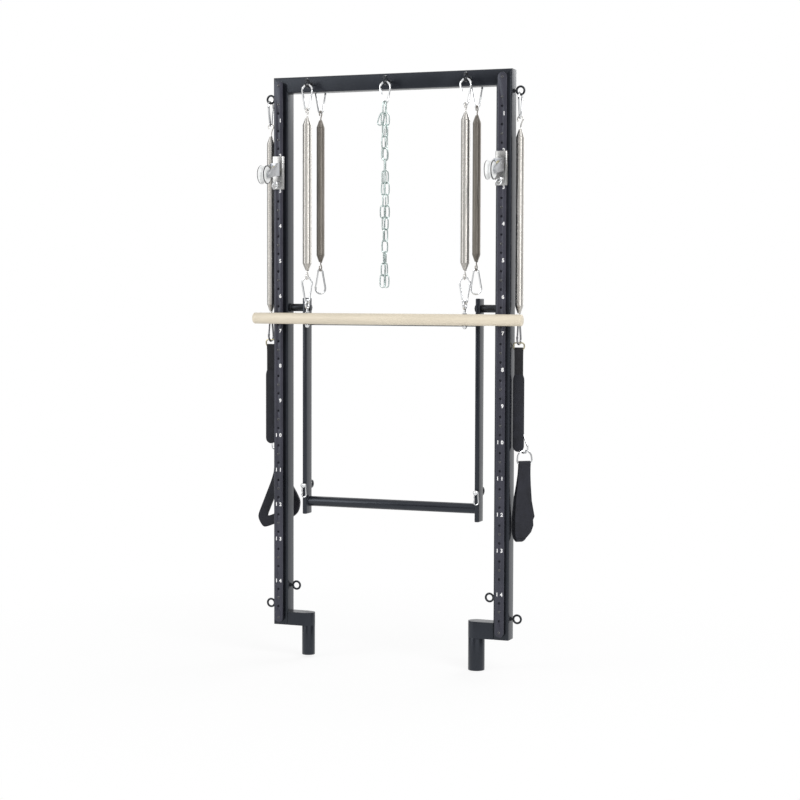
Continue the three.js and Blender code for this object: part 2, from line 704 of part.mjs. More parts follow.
// Hand strap: a webbing tail below its ring, a long padded body, and behind it a tab for the foot
// loop's snap.
function handStrap(tabY) {
  const side = PAD_WIDTH / 2;
  const end = -WEB_LENGTH - PAD_LENGTH;
  const tail = sideExtrusion(
    foldOutline(STRAP_RING_WIRE, WEBBING, -WEB_LENGTH - PAD_EASE), -WEB_WIDTH / 2, WEB_WIDTH / 2, 4,
  );
  const outline = new THREE.Shape();
  outline.moveTo(WEB_WIDTH / 2, -WEB_LENGTH);
  outline.lineTo(-WEB_WIDTH / 2, -WEB_LENGTH);
  outline.lineTo(-side, -WEB_LENGTH - side);
  outline.absarc(0, end + side, side, Math.PI, 2 * Math.PI, false);
  outline.lineTo(side, -WEB_LENGTH - side);
  const pad = new THREE.ExtrudeGeometry(outline, {
    depth: PAD_THICK - 2 * PAD_EASE,
    bevelThickness: PAD_EASE,
    bevelSize: PAD_EASE,
    bevelOffset: -PAD_EASE,
    bevelSegments: 1,
    curveSegments: 4,
  }).rotateX(Math.PI / 2).translate(0, PAD_THICK / 2 - PAD_EASE, 0);
  const bore = SNAP_WIRE + TAB_EASE;
  const half = TAB_WIDTH / 2;
  const middle = [tabY, end + TAB_RISE];
  const tab = rod('x', bore + WEBBING, -half, half, middle, 10);
  return cut(joined(tail, pad, tab), rod('x', bore, -TAB_WIDTH, TAB_WIDTH, middle, 10));
}

// A D-ring hung from the middle of its bow at the origin, with its bar level below.
function dRing() {
  const half = D_RING_WIDTH / 2 - D_RING_WIRE;
  const drop = D_RING_HEIGHT - 2 * D_RING_WIRE;
  const bar = [new THREE.Vector2(-half, -drop), new THREE.Vector2(half, -drop)];
  return wireLoop([...arc(0, -half, half, 0, Math.PI, 8), ...bar], D_RING_WIRE);
}

// The band of a foot loop that hangs closed, seen from its side: a drop with its opening inside.
function dropOutline(path, top, half, low, corner) {
  path.absarc(0, top[1], top[0], 0, Math.PI, false);
  path.absarc(-half + corner, low + corner, corner, Math.PI, 1.5 * Math.PI, false);
  path.absarc(half - corner, low + corner, corner, 1.5 * Math.PI, 2 * Math.PI, false);
  return path;
}

// A foot loop below the bar of its D-ring, hanging closed and flaring towards its foot.
function closedLoop() {
  const neck = D_RING_WIRE + SEAT + WEBBING;
  const half = BAND_OPEN / 2;
  const outline = dropOutline(new THREE.Shape(), [neck, 0], half, -BAND_HEIGHT, BAND_CORNER);
  outline.holes.push(dropOutline(
    new THREE.Path(), [BAND_THICKNESS / 4, -BAND_HEIGHT / 3], half - BAND_THICKNESS,
    -BAND_HEIGHT + BAND_THICKNESS, BAND_CORNER - BAND_THICKNESS,
  ));
  const eye = new THREE.Path();
  eye.absarc(0, 0, D_RING_WIRE + SEAT, 0, 2 * Math.PI, true);
  outline.holes.push(eye);
  const foldHalf = FOLD_WIDTH / 2;
  const bandHalf = BAND_WIDTH / 2;
  const flare = new THREE.Shape();
  const corners = [
    [foldHalf, neck + OVERRUN], [-foldHalf, neck + OVERRUN], [-foldHalf, -BAND_HEIGHT / 4],
    [-bandHalf, -BAND_HEIGHT * FLARE_SHARE], [-bandHalf * HEM_SHARE, -BAND_HEIGHT - OVERRUN],
    [bandHalf * HEM_SHARE, -BAND_HEIGHT - OVERRUN], [bandHalf, -BAND_HEIGHT * FLARE_SHARE],
    [foldHalf, -BAND_HEIGHT / 4],
  ];
  flare.setFromPoints(corners.map(([x, z]) => new THREE.Vector2(x, z)));
  return common(
    sideExtrusion(outline, -bandHalf - OVERRUN, bandHalf + OVERRUN, 4),
    frontExtrusion(flare, -BAND_OPEN, BAND_OPEN),
  );
}

// A foot loop that has opened into a triangle, face on, below the turned bar of its D-ring.
function openLoop(turn) {
  const neck = D_RING_WIRE + SEAT + WEBBING;
  const low = -SPREAD_HEIGHT;
  const band = SPREAD_BAND;
  const outline = new THREE.Shape();
  const outer = [
    [band / 2, -neck / 2], [-band / 2, -neck / 2], [-SPREAD_LEFT, low + band],
    [-SPREAD_LEFT + band / 2, low], [SPREAD_RIGHT - band / 2, low + band / 4], [SPREAD_RIGHT, low + band],
  ];
  const inner = [
    [0, low / 3], [SPREAD_RIGHT - band, low + 1.3 * band], [-SPREAD_LEFT + band, low + band],
  ];
  const corners = (list) => list.map(([x, z]) => new THREE.Vector2(x, z));
  outline.setFromPoints(corners(outer));
  outline.holes.push(new THREE.Path().setFromPoints(corners(inner)));
  const half = SPREAD_THICK / 2;
  const fold = sideExtrusion(foldOutline(D_RING_WIRE, WEBBING, -neck - band), -band / 2, band / 2, 4);
  const bore = rod('x', D_RING_WIRE + SEAT, -band, band, [0, 0], SMALL_ROUND).rotateZ(turn);
  return cut(joined(frontExtrusion(outline, -half, half), fold.rotateZ(turn)), bore);
}

// Side lines: spring, snap, ring and hand strap, and below its tab a snap, D-ring and foot loop
function sideLines() {
  const line = hangingLine(SIDE_UPPER_Z, SIDE_COIL, SIDE_LOWER_REACH);
  const ringTop = line.lowerBottom + SNAP_WIRE + STRAP_RING_WIRE + SEAT;
  const ringBar = ringTop - STRAP_RING_HEIGHT + 2 * STRAP_RING_WIRE;
  const x = WEB_WIDTH / 2 + 2 * SEAT + STRAP_RING_WIRE;
  const ringCorners = [[x, ringTop], [-x, ringTop], [-x, ringBar], [x, ringBar]];
  const strapRing = wireLoop(ringCorners.map(([a, b]) => new THREE.Vector2(a, b)), STRAP_RING_WIRE);
  const tabY = PAD_THICK / 2 + SNAP_WIRE + TAB_EASE + WEBBING - LAP;
  const edgeOn = (wideUp, z) => snapHook(wideUp).rotateZ(ACROSS_Y).translate(SIDE_LINE_X, 0, z);
  pair('side_upper_snap', edgeOn(true, line.snapTop), chrome);
  pair('side_lower_snap', edgeOn(false, line.lowerTop), chrome);
  pair('strap_ring', moved(strapRing, SIDE_LINE_X, 0, 0), brass);
  for (const { side, sign } of SIDES) {
    spring(`${side}_side_spring`, SIDE_COIL, line.hookTop, SIDE_LOWER_REACH, ALONG_X, sign * SIDE_LINE_X, 0);
  }

  // The right loop leans out past the upright, and the left one has slipped behind its upright.
  const tab = new THREE.Vector3(0, tabY, ringBar - WEB_LENGTH - PAD_LENGTH + TAB_RISE);
  const turn = new THREE.Matrix4().makeRotationZ(LOOP_SNAP_TURN);
  const hang = (side, sign, lean, loop) => {
    const start = tab.clone().setX(sign * SIDE_LINE_X);
    const end = new THREE.Vector3(0, 0, -SNAP_REACH).applyMatrix4(lean).add(start);
    const bowZ = end.z + SNAP_WIRE + D_RING_WIRE + D_RING_EASE;
    const barZ = bowZ - D_RING_HEIGHT + 2 * D_RING_WIRE;
    const strap = handStrap(tabY);
    const snap = snapHook(false).applyMatrix4(turn).applyMatrix4(lean);
    piece(`${side}_hand_strap`, strap.translate(start.x, 0, ringBar), webbingBlack);
    piece(`${side}_loop_snap`, snap.translate(start.x, start.y, start.z), chrome);
    piece(`${side}_d_ring`, dRing().rotateZ(D_RING_TURN).translate(end.x, end.y, bowZ), chrome);
    piece(`${side}_foot_loop`, loop.translate(end.x, end.y, barZ), webbingBlack);
  };
  const outwards = new THREE.Matrix4().makeRotationY(-Math.asin(LOOP_LEAN / SNAP_REACH));
  const backwards = new THREE.Matrix4().makeRotationX(Math.asin(LEFT_LOOP_BACK / SNAP_REACH));
  hang('right', 1, outwards, closedLoop().rotateZ(D_RING_TURN));
  hang('left', -1, backwards, openLoop(D_RING_TURN));
}

// Chain: links in turn face on and edge on, in two strands that touch, with a short loose end
function chain() {
  const eye = RAIL_Z - EYE_HOLE + SNAP_WIRE + SEAT;
  const foot = eye - (CHAIN_SNAP_LENGTH - 2 * SNAP_WIRE);
  const snap = snapHook(true, CHAIN_SNAP_LENGTH, CHAIN_SNAP_NARROW);
  piece('chain_snap', snap.translate(0, FRONT_LINE_Y, eye), chrome);

  const round = LINK_WIDTH / 2 - CHAIN_WIRE;
  const crown = round * Math.sin(Math.PI / 3);
  const reach = LINK_LENGTH - 2 * CHAIN_WIRE;
  const link = wireLoop([
    ...arc(0, -crown, round, 0, Math.PI, 3),
    ...arc(0, -reach + crown, round, Math.PI, 2 * Math.PI, 3),
  ], CHAIN_WIRE, 4);
  const pitch = reach - 2 * CHAIN_WIRE + CHAIN_LAP;
  const sideRise = 2 * CHAIN_WIRE * Math.tan(Math.PI / 8);
  const first = foot + SNAP_WIRE + CHAIN_WIRE + sideRise + SEAT;
  const count = Math.round(STRAND_DROP / pitch);
  const beside = CHAIN_WIRE - CHAIN_LAP / 2;
  const links = [];
  for (const { sign } of SIDES) {
    for (let i = 0; i < count; i += 1) {
      const spread = Math.min(1, i / 2);
      const x = beside + (STRAND_SPREAD - beside) * spread;
      const y = i ? sign * (CHAIN_WIRE + SEAT) : 0;
      const edgeOn = i % 2 ? 0 : ACROSS_Y;
      links.push(link.clone().rotateZ(edgeOn).translate(sign * x, FRONT_LINE_Y + y, first - i * pitch));
    }
  }
  const loose = link.clone().rotateY(LOOSE_TILT).translate(-STRAND_SPREAD, FRONT_LINE_Y, first - pitch);
  piece('chain', joined(...links, loose), zinc);
}

// Pulley carriage: a C-section that wraps the strip's flange, with a sleeve for the stud and one for the pin
const CARRIAGE_IN_Y = STRIP_FRONT_Y - CARRIAGE_GAP;
const CARRIAGE_OUT_Y = CARRIAGE_IN_Y - CARRIAGE_WALL;
const PIN_Z = FIRST_ROW_Z - PIN_ROW * HOLE_PITCH;
const CARRIAGE_Z = PIN_Z + PIN_BELOW;
const STUD_Z = CARRIAGE_Z + STUD_ABOVE;
const WHEEL_Y = STRIP_FRONT_Y - WHEEL_REACH;
const WHEEL_Z = STUD_Z - WHEEL_DROP;

function carriage() {
  const half = CARRIAGE_WIDTH / 2;
  const inside = half - CARRIAGE_WALL;
  const lipFront = STRIP_FRONT_Y + STRIP_FLANGE + SEAT;
  const lipBack = lipFront + CARRIAGE_WALL;
  const rightHalf = [
    [half - CARRIAGE_EDGE, CARRIAGE_OUT_Y], [half, CARRIAGE_OUT_Y + CARRIAGE_EDGE],
    [half, lipBack], [inside - LIP_REACH, lipBack], [inside - LIP_REACH, lipFront], [inside, lipFront],
    [inside, CARRIAGE_IN_Y],
  ];
  const leftHalf = rightHalf.map(([x, y]) => [-x, y]).reverse();
  const outline = new THREE.Shape();
  outline.setFromPoints([...rightHalf, ...leftHalf].map(([x, y]) => new THREE.Vector2(x, y)));
  const shell = extruded(outline, CARRIAGE_HEIGHT).translate(0, 0, CARRIAGE_Z - CARRIAGE_HEIGHT / 2);
  const sleeve = (radius, length, z) => rod('y', radius, CARRIAGE_OUT_Y - length, CARRIAGE_IN_Y, [0, z], 12);
  return cut(
    joined(
      shell,
      sleeve(SLEEVE_RADIUS, SLEEVE_LENGTH, STUD_Z),
      sleeve(PIN_SLEEVE_RADIUS, PIN_SLEEVE_LENGTH, PIN_Z),
    ),
    hole('y', CARRIAGE_OUT_Y - SLEEVE_LENGTH, CARRIAGE_IN_Y, [0, STUD_Z], STUD_RADIUS, ROUND),
    hole('y', CARRIAGE_OUT_Y - PIN_SLEEVE_LENGTH, CARRIAGE_IN_Y, [0, PIN_Z], PIN_RADIUS),
  );
}

function pullKnob() {
  const mouth = CARRIAGE_OUT_Y - PIN_SLEEVE_LENGTH - SEAT;
  const grip = turned([
    [0, 0], [KNOB_RADIUS, 0], [KNOB_RADIUS, KNOB_LENGTH / 4], [KNOB_RADIUS / 2, KNOB_LENGTH / 2],
    [KNOB_RADIUS, KNOB_LENGTH], [0, KNOB_LENGTH],
  ], SMALL_ROUND).rotateX(Math.PI).translate(0, mouth, PIN_Z);
  const ring = new THREE.TorusGeometry(KNOB_RING_RADIUS, KNOB_RING_WIRE, WIRE_SIDES, EYE_STEPS)
    .rotateX(Math.PI / 2).translate(0, mouth - KNOB_LENGTH, PIN_Z - KNOB_RING_RADIUS + KNOB_RING_WIRE);
  const tip = STRIP_FRONT_Y - SCREW_HEIGHT - SEAT;
  return joined(rod('y', PIN_RADIUS, mouth - LAP, tip, [0, PIN_Z]), grip, ring);
}

// The fork swivels on its stud, which a nut holds, and its cheeks taper down to the axle.
function fork() {
  const baseBack = CARRIAGE_OUT_Y - SLEEVE_LENGTH - STUD_NUT_THICK - SEAT;
  const baseFront = baseBack - FORK_PLATE;
  const cheekIn = WHEEL_WIDTH / 2 + FORK_GAP;
  const cheekOut = cheekIn + FORK_PLATE;
  const headOut = cheekOut + AXLE_HEAD;
  const cheek = new THREE.Shape();
  cheek.moveTo(baseBack, STUD_Z - FORK_REAR_HALF);
  cheek.lineTo(baseBack, STUD_Z + FORK_REAR_HALF);
  cheek.lineTo(baseFront, STUD_Z + FORK_REAR_HALF);
  cheek.absarc(WHEEL_Y, WHEEL_Z, FORK_TIP_RADIUS, 0.4 * Math.PI, 1.4 * Math.PI, false);
  const plate = new THREE.BoxGeometry(2 * cheekOut, FORK_PLATE, 2 * FORK_REAR_HALF)
    .translate(0, (baseBack + baseFront) / 2, STUD_Z);
  return joined(
    sideExtrusion(cheek, cheekIn, cheekOut, 3),
    sideExtrusion(cheek, -cheekOut, -cheekIn, 3),
    plate,
    rod('y', STUD_RADIUS, baseBack - LAP, CARRIAGE_IN_Y, [0, STUD_Z]),
    hexNut('y', STUD_NUT_ACROSS, baseBack - LAP, baseBack + STUD_NUT_THICK, [0, STUD_Z]),
    rod('x', AXLE_RADIUS, -headOut, headOut, [WHEEL_Y, WHEEL_Z]),
    rod('x', AXLE_HEAD_RADIUS, cheekOut, headOut, [WHEEL_Y, WHEEL_Z], 6),
    rod('x', AXLE_HEAD_RADIUS, -cheekOut, -headOut, [WHEEL_Y, WHEEL_Z], 6),
  );
}

function wheel() {
  const half = WHEEL_WIDTH / 2;
  const bore = AXLE_RADIUS + SHANK_CLEARANCE;
  const groove = WHEEL_RADIUS - WHEEL_GROOVE;
  return turned([
    [bore, -half], [WHEEL_RADIUS, -half], [WHEEL_RADIUS, -half + WHEEL_RIM],
    [groove, -WHEEL_RIM / 2], [groove, WHEEL_RIM / 2],
    [WHEEL_RADIUS, half - WHEEL_RIM], [WHEEL_RADIUS, half], [bore, half], [bore, -half],
  ], ROUND).rotateZ(-Math.PI / 2).translate(0, WHEEL_Y, WHEEL_Z);
}

function pulleys() {
  const place = (geometry) => moved(geometry, UPRIGHT_X, 0, 0);
  pair('pulley_carriage', place(carriage()), chrome);
  pair('pull_knob', place(pullKnob()), chrome);
  pair('pulley_fork', place(fork()), forkGrey);
  pair('pulley_wheel', place(wheel()), nylon);
}

// Push-through bar: two flat arms on pins in the uprights, joined by two round crossbars
function pushThroughBar() {
  const centreX = ARM_OUTER_X - ARM_THICK / 2;
  const innerX = ARM_OUTER_X - ARM_THICK;
  const face = ARM_DEPTH / 2;
  const eyeZ = ARM_BOTTOM + ARM_EYE_RISE;
  const eyeY = face + EYE_WIRE + ARM_EYE_RADIUS + SEAT;
  const front = -face - ARM_SHANK_OUT;
  const outline = roundedRectangle(new THREE.Shape(), ARM_THICK, ARM_DEPTH, ARM_CORNER);
  const bar = cut(
    extruded(outline, ARM_LENGTH).translate(centreX, 0, ARM_BOTTOM),
    hole('x', innerX, ARM_OUTER_X, [0, PIVOT_Z], PIVOT_SHANK_RADIUS, ROUND),
  );
  pair('bar_arm', joined(
    bar,
    eyeRing(ACROSS_Y, ARM_EYE_RADIUS).translate(centreX, eyeY, eyeZ),
    rod('y', SHANK_RADIUS, front, eyeY - ARM_EYE_RADIUS, [centreX, eyeZ]),
    rod('y', NUT_ACROSS / 2, front, front + NUT_THICK, [centreX, eyeZ]),
  ), blackPaint);

  const half = innerX - SEAT;
  const crossbar = (z) => cut(
    rod('x', CROSSBAR_RADIUS, -half, half, [0, z], ROUND),
    rod('x', CROSSBAR_RADIUS - CROSSBAR_WALL, -half - OVERRUN, half + OVERRUN, [0, z], ROUND),
  );
  piece('upper_crossbar', crossbar(ARM_TOP - UPPER_CROSSBAR_DROP), blackPaint);
  piece('lower_crossbar', crossbar(ARM_BOTTOM + LOWER_CROSSBAR_RISE), blackPaint);

  const headIn = innerX - SEAT - PIVOT_HEAD;
  pair('pivot_pin', joined(
    rod('x', PIVOT_SPACER_RADIUS, ARM_OUTER_X + SEAT, INNER_FACE_X - SEAT, [0, PIVOT_Z], 12),
    rod('x', PIVOT_SHANK_RADIUS, headIn + LAP, INNER_FACE_X + TUBE_WALL + SHANK_TIP, [0, PIVOT_Z]),
    hexNut('x', PIVOT_HEAD_ACROSS, headIn, innerX - SEAT, [0, PIVOT_Z]),
  ), blackSteel);

  const linkY = (-face + front + NUT_THICK) / 2;
  const linkTop = eyeZ + SHANK_RADIUS + ARM_LINK_WIRE + SEAT;
  const link = snapHook(false, ARM_LINK_LENGTH, ARM_LINK_NARROW, ARM_LINK_WIDTH, ARM_LINK_WIRE);
  pair('arm_link', link.translate(centreX, linkY, linkTop), chrome);
}

frame();
piece('left_foot', mirrored(foot(LEFT_FOOT_TUBE)), blackPaint);
piece('right_foot', foot(RIGHT_FOOT_TUBE), blackPaint);
pair('scale_strip', strip().translate(UPRIGHT_X, 0, 0), stripBlack);
rollDownBar();
rearSprings();
sideLines();
chain();
pulleys();
pushThroughBar();

export default tower;
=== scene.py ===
"""A pilates tower unit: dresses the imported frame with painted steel, wound springs, webbing and wood.

Pieces are modelled in millimetres on the frame's own axes and scaled to metres as they are finished.
"""

import logging
import math
from collections.abc import Callable, Iterator, Sequence
from contextlib import contextmanager
from dataclasses import dataclass
from enum import Enum

import bpy
from mathutils import Matrix, Vector


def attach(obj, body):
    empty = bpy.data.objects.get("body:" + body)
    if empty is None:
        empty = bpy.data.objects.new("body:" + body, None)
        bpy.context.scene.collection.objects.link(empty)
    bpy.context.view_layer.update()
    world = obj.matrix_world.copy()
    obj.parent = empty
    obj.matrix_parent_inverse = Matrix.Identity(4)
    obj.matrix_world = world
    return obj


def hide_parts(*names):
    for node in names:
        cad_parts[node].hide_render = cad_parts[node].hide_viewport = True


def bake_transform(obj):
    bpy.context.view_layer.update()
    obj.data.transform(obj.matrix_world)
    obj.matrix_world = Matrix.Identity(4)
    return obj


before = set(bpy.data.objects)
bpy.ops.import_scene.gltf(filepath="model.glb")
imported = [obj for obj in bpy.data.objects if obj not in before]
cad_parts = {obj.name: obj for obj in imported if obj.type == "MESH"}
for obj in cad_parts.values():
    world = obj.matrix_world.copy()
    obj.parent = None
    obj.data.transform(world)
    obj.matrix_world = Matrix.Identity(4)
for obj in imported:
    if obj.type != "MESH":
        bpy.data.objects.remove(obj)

LOG = logging.getLogger("tower")
METRES = 0.001
Place = tuple[float, float, float]
Colour = tuple[float, float, float]
Outline = Sequence[tuple[float, float]]
Test = Callable[[Vector, Vector], bool]
Piece = bpy.types.Object
Socket = bpy.types.NodeSocket


class Side(Enum):
    """The side of the tower, seen from the numbered strips."""

    LEFT = -1
    RIGHT = 1

    @property
    def word(self) -> str:
        """The word that node names start with."""
        return self.name.lower()


class Axis(Enum):
    """The way a Z-wise primitive is laid; FRONT points it towards -Y."""

    X = (0.0, math.pi / 2, 0.0)
    Y = (-math.pi / 2, 0.0, 0.0)
    Z = (0.0, 0.0, 0.0)
    FRONT = (math.pi / 2, 0.0, 0.0)

    def turn(self) -> Matrix:
        """The turn from Z to this axis."""
        x, y, _ = self.value
        return Matrix.Rotation(y, 4, "Y") @ Matrix.Rotation(x, 4, "X")


# Handling of pieces


def shift(x: float, y: float, z: float) -> Matrix:
    """The move by X, Y and Z."""
    return Matrix.Translation((x, y, z))


def select(*pieces: Piece) -> None:
    """Selects these pieces alone; the first is active.

    Args:
        pieces: What the next operator acts on.
    """
    bpy.ops.object.select_all(action="DESELECT")
    for piece in pieces:
        piece.select_set(True)
    bpy.context.view_layer.objects.active = pieces[0]


def named(name: str) -> Piece:
    """Names the primitive that was just added.

    Args:
        name: The piece's name.

    Returns:
        The piece.
    """
    piece = bpy.context.object
    piece.name = name
    piece.data.name = name
    return piece


def settle(piece: Piece) -> Piece:
    """Puts a piece's place, turn and size into its mesh.

    Args:
        piece: The piece.

    Returns:
        The same piece.
    """
    select(piece)
    bpy.ops.object.transform_apply(location=True, rotation=True, scale=True)
    return piece


def scaled(name: str, *size: float) -> Piece:
    """Names the primitive that was just added, and stretches it.

    Args:
        name: The piece's name.
        size: The stretch along X, Y and Z.

    Returns:
        The piece.
    """
    piece = named(name)
    piece.scale = size
    return settle(piece)


def moved(piece: Piece, matrix: Matrix) -> Piece:
    """Moves a piece's mesh, and turns its faces back outwards if the matrix mirrors it.

    Args:
        piece: The piece.
        matrix: The move, in the piece's own units.

    Returns:
        The same piece.
    """
    piece.data.transform(matrix)
    if matrix.determinant() < 0:
        piece.data.flip_normals()
    piece.data.update()
    return piece


def copied(piece: Piece, name: str, matrix: Matrix) -> Piece:
    """Copies a piece with a mesh of its own, and moves the copy.

    Args:
        piece: What is copied.
        name: The copy's name.
        matrix: The copy's move.

    Returns:
        The copy.
    """
    twin = piece.copy()
    twin.data = piece.data.copy()
    twin.name = name
    twin.data.name = name
    bpy.context.collection.objects.link(twin)
    return moved(twin, matrix)


def shaped(piece: Piece, kind: str, **settings: object) -> Piece:
    """Adds a modifier and applies it.

    Args:
        piece: The piece.
        kind: The modifier's type.
        settings: The modifier's properties.

    Returns:
        The same piece.
    """
    modifier = piece.modifiers.new(kind.title(), kind)
    for key, value in settings.items():
        setattr(modifier, key, value)
    select(piece)
    bpy.ops.object.modifier_apply(modifier=modifier.name)
    return piece


def softened(piece: Piece, width: float, segments: int = 2, angle: float = 30) -> Piece:
    """Rounds a piece's sharp edges.

    Args:
        piece: The piece.
        width: The edge's width.
        segments: Faces across the edge.
        angle: The least angle, in degrees, of an edge that is rounded.

    Returns:
        The same piece.
    """
    return shaped(
        piece, "BEVEL", width=width, segments=segments, limit_method="ANGLE",
        angle_limit=math.radians(angle), use_clamp_overlap=True,
    )


def joined(name: str, *parts: Piece) -> Piece:
    """Joins parts into one piece.

    Args:
        name: The piece's name.
        parts: What is joined.

    Returns:
        The piece.
    """
    select(*parts)
    if len(parts) > 1:
        bpy.ops.object.join()
    return named(name)


def strewn(name: str, template: Piece, places: Sequence[Matrix]) -> Piece:
    """Copies a piece to many places, and drops the first.

    Args:
        name: The name of the copies as one piece.
        template: What is copied.
        places: The moves of the copies.

    Returns:
        The piece.
    """
    copies = [copied(template, "copy", place) for place in places]
    bpy.data.objects.remove(template)
    return joined(name, *copies)


def cut(piece: Piece, cutter: Piece) -> Piece:
    """Cuts one piece out of another.

    Args:
        piece: What stays.
        cutter: What is taken away.

    Returns:
        The piece that stays.
    """
    shaped(piece, "BOOLEAN", object=cutter, operation="DIFFERENCE", solver="EXACT")
    bpy.data.objects.remove(cutter)
    return piece


@contextmanager
def editing(piece: Piece, selection: str = "") -> Iterator[None]:
    """Holds a piece in edit mode.

    Args:
        piece: The piece.
        selection: SELECT or DESELECT, where all of its mesh is selected or deselected first.
    """
    select(piece)
    bpy.ops.object.mode_set(mode="EDIT")
    if selection:
        bpy.ops.mesh.select_all(action=selection)
    yield
    bpy.ops.object.mode_set(mode="OBJECT")


def extrude(*step: float) -> None:
    """Draws out what is selected, by a step along X, Y and Z."""
    bpy.ops.mesh.extrude_region_move(TRANSFORM_OT_translate={"value": step, "orient_type": "GLOBAL"})


def outward(piece: Piece) -> Piece:
    """Merges doubled points and turns every face outwards.

    Args:
        piece: A closed piece.

    Returns:
        The same piece.
    """
    with editing(piece, "SELECT"):
        bpy.ops.mesh.remove_doubles(threshold=0.001)
        bpy.ops.mesh.normals_make_consistent(inside=False)
    return piece


# Forms


def block(name: str, size: Place, centre: Place, edge: float = 0.5, segments: int = 2) -> Piece:
    """A block with rounded edges.

    Args:
        name: The piece's name.
        size: Its size along X, Y and Z.
        centre: Its middle.
        edge: The width of its edges.
        segments: Faces across an edge.

    Returns:
        The block.
    """
    bpy.ops.mesh.primitive_cube_add(size=1, location=centre)
    return softened(scaled(name, *size), edge, segments)


def rod(
    name: str, axis: Axis, radius: float, start: float, end: float, place: tuple[float, float],
    edge: float = 0.0, sides: int = 32,
) -> Piece:
    """A rod along an axis.

    Args:
        name: The piece's name.
        axis: The axis it lies along.
        radius: Its radius.
        start: Where it starts on that axis.
        end: Where it ends on that axis.
        place: Its place on the other two axes, in the order X, Y, Z.
        edge: The width of the round at its ends.
        sides: Its sides.

    Returns:
        The rod.
    """
    middle = (start + end) / 2
    a, b = place
    centre = {Axis.X: (middle, a, b), Axis.Y: (a, middle, b), Axis.Z: (a, b, middle)}[axis]
    bpy.ops.mesh.primitive_cylinder_add(
        vertices=sides, radius=radius, depth=abs(end - start), location=centre, rotation=axis.value,
    )
    piece = settle(named(name))
    return softened(piece, edge, 2, 50) if edge else piece


def tube(
    name: str, axis: Axis, radius: float, wall: float, start: float, end: float, place: tuple[float, float],
    edge: float = 0.6,
) -> Piece:
    """A round tube, open at both ends.

    Args:
        name: The piece's name.
        axis: The axis it lies along.
        radius: Its outer radius.
        wall: Its wall.
        start: Where it starts on that axis.
        end: Where it ends on that axis.
        place: Its place on the other two axes.
        edge: The round of its rims.

    Returns:
        The tube.
    """
    piece = rod(name, axis, radius, start, end, place, sides=40)
    drop_faces(piece, lambda normal, _: abs(normal.dot(axis.turn() @ Vector((0, 0, 1)))) > 0.9)
    shaped(piece, "SOLIDIFY", thickness=wall, offset=-1)
    return softened(piece, edge, 2, 50)


def hull(piece: Piece) -> Piece:
    """Wraps a piece in its convex hull.

    Args:
        piece: The piece.

    Returns:
        The hull.
    """
    with editing(piece, "SELECT"):
        bpy.ops.mesh.convex_hull()
    return outward(piece)


def mark(piece: Piece, kind: str, chosen: Test) -> None:
    """Selects the faces or edges that a test chooses, and no others.

    Args:
        piece: The piece.
        kind: FACE or EDGE.
        chosen: Takes a face's normal or an edge's direction, and its middle.
    """
    with editing(piece):
        bpy.ops.mesh.select_mode(type=kind)
        bpy.ops.mesh.select_all(action="DESELECT")
    if kind == "FACE":
        for face in piece.data.polygons:
            face.select = chosen(face.normal, face.center)
        return
    points = piece.data.vertices
    for edge in piece.data.edges:
        a, b = (points[i].co for i in edge.vertices)
        edge.select = chosen((b - a).normalized(), (a + b) / 2)


def drop_faces(piece: Piece, chosen: Test) -> None:
    """Deletes the faces that a test chooses.

    Args:
        piece: The piece.
        chosen: Takes a face's normal and centre.
    """
    mark(piece, "FACE", chosen)
    with editing(piece):
        bpy.ops.mesh.delete(type="FACE")


def torus(name: str, axis: Axis, radius: float, wire: float, centre: Place, steps: int = 40) -> Piece:
    """A round ring.

    Args:
        name: The piece's name.
        axis: The axis through its hole.
        radius: The radius of its wire's middle line.
        wire: Its wire's radius.
        centre: Its centre.
        steps: Steps round the ring.

    Returns:
        The ring.
    """
    bpy.ops.mesh.primitive_torus_add(
        major_radius=radius, minor_radius=wire, major_segments=steps, minor_segments=14,
        location=centre, rotation=axis.value,
    )
    return settle(named(name))


def turned(
    name: str, axis: Axis, profile: Outline, place: Place = (0, 0, 0), sides: int = 32,
) -> Piece:
    """A turned solid: a disc that is drawn out step by step.

    Args:
        name: The piece's name.
        axis: The axis it is turned about.
        profile: Pairs of radius and height, from the first end to the last.
        place: The foot of its axis.
        sides: Its sides.

    Returns:
        The solid.
    """
    radius, height = profile[0]
    bpy.ops.mesh.primitive_circle_add(
        vertices=sides, radius=radius, fill_type="NGON", location=(0, 0, height),
    )
    piece = settle(named(name))
    with editing(piece):
        bpy.ops.mesh.select_mode(type="FACE")
        bpy.ops.mesh.select_all(action="SELECT")
        for next_radius, next_height in profile[1:]:
            extrude(0, 0, next_height - height)
            ratio = next_radius / radius
            bpy.ops.transform.resize(value=(ratio, ratio, 1), center_override=(0, 0, next_height))
            radius, height = next_radius, next_height
    return moved(outward(piece), Matrix.Translation(place) @ axis.turn())


def wire(
    name: str, points: Sequence[Sequence[float]], radius: float, closed: bool = False, steps: int = 4,
    rounds: int = 3,
) -> Piece:
    """A bent wire along points.

    Args:
        name: The piece's name.
        points: The middle line.
        radius: The wire's radius.
        closed: Whether it closes on itself.
        steps: Steps between points.
        rounds: Fineness of its section.

    Returns:
        The wire.
    """
    bpy.ops.curve.primitive_bezier_curve_add(location=(0, 0, 0))
    curve = bpy.context.object.data
    curve.dimensions = "3D"
    curve.bevel_depth = radius
    curve.bevel_resolution = rounds
    curve.resolution_u = steps
    curve.use_fill_caps = True
    spline = curve.splines[0]
    spline.bezier_points.add(len(points) - 2)
    spline.use_cyclic_u = closed
    for knot, point in zip(spline.bezier_points, points):
        knot.handle_left_type = knot.handle_right_type = "AUTO"
        knot.co = Vector(point)
    select(bpy.context.object)
    bpy.ops.object.convert(target="MESH")
    return outward(named(name))


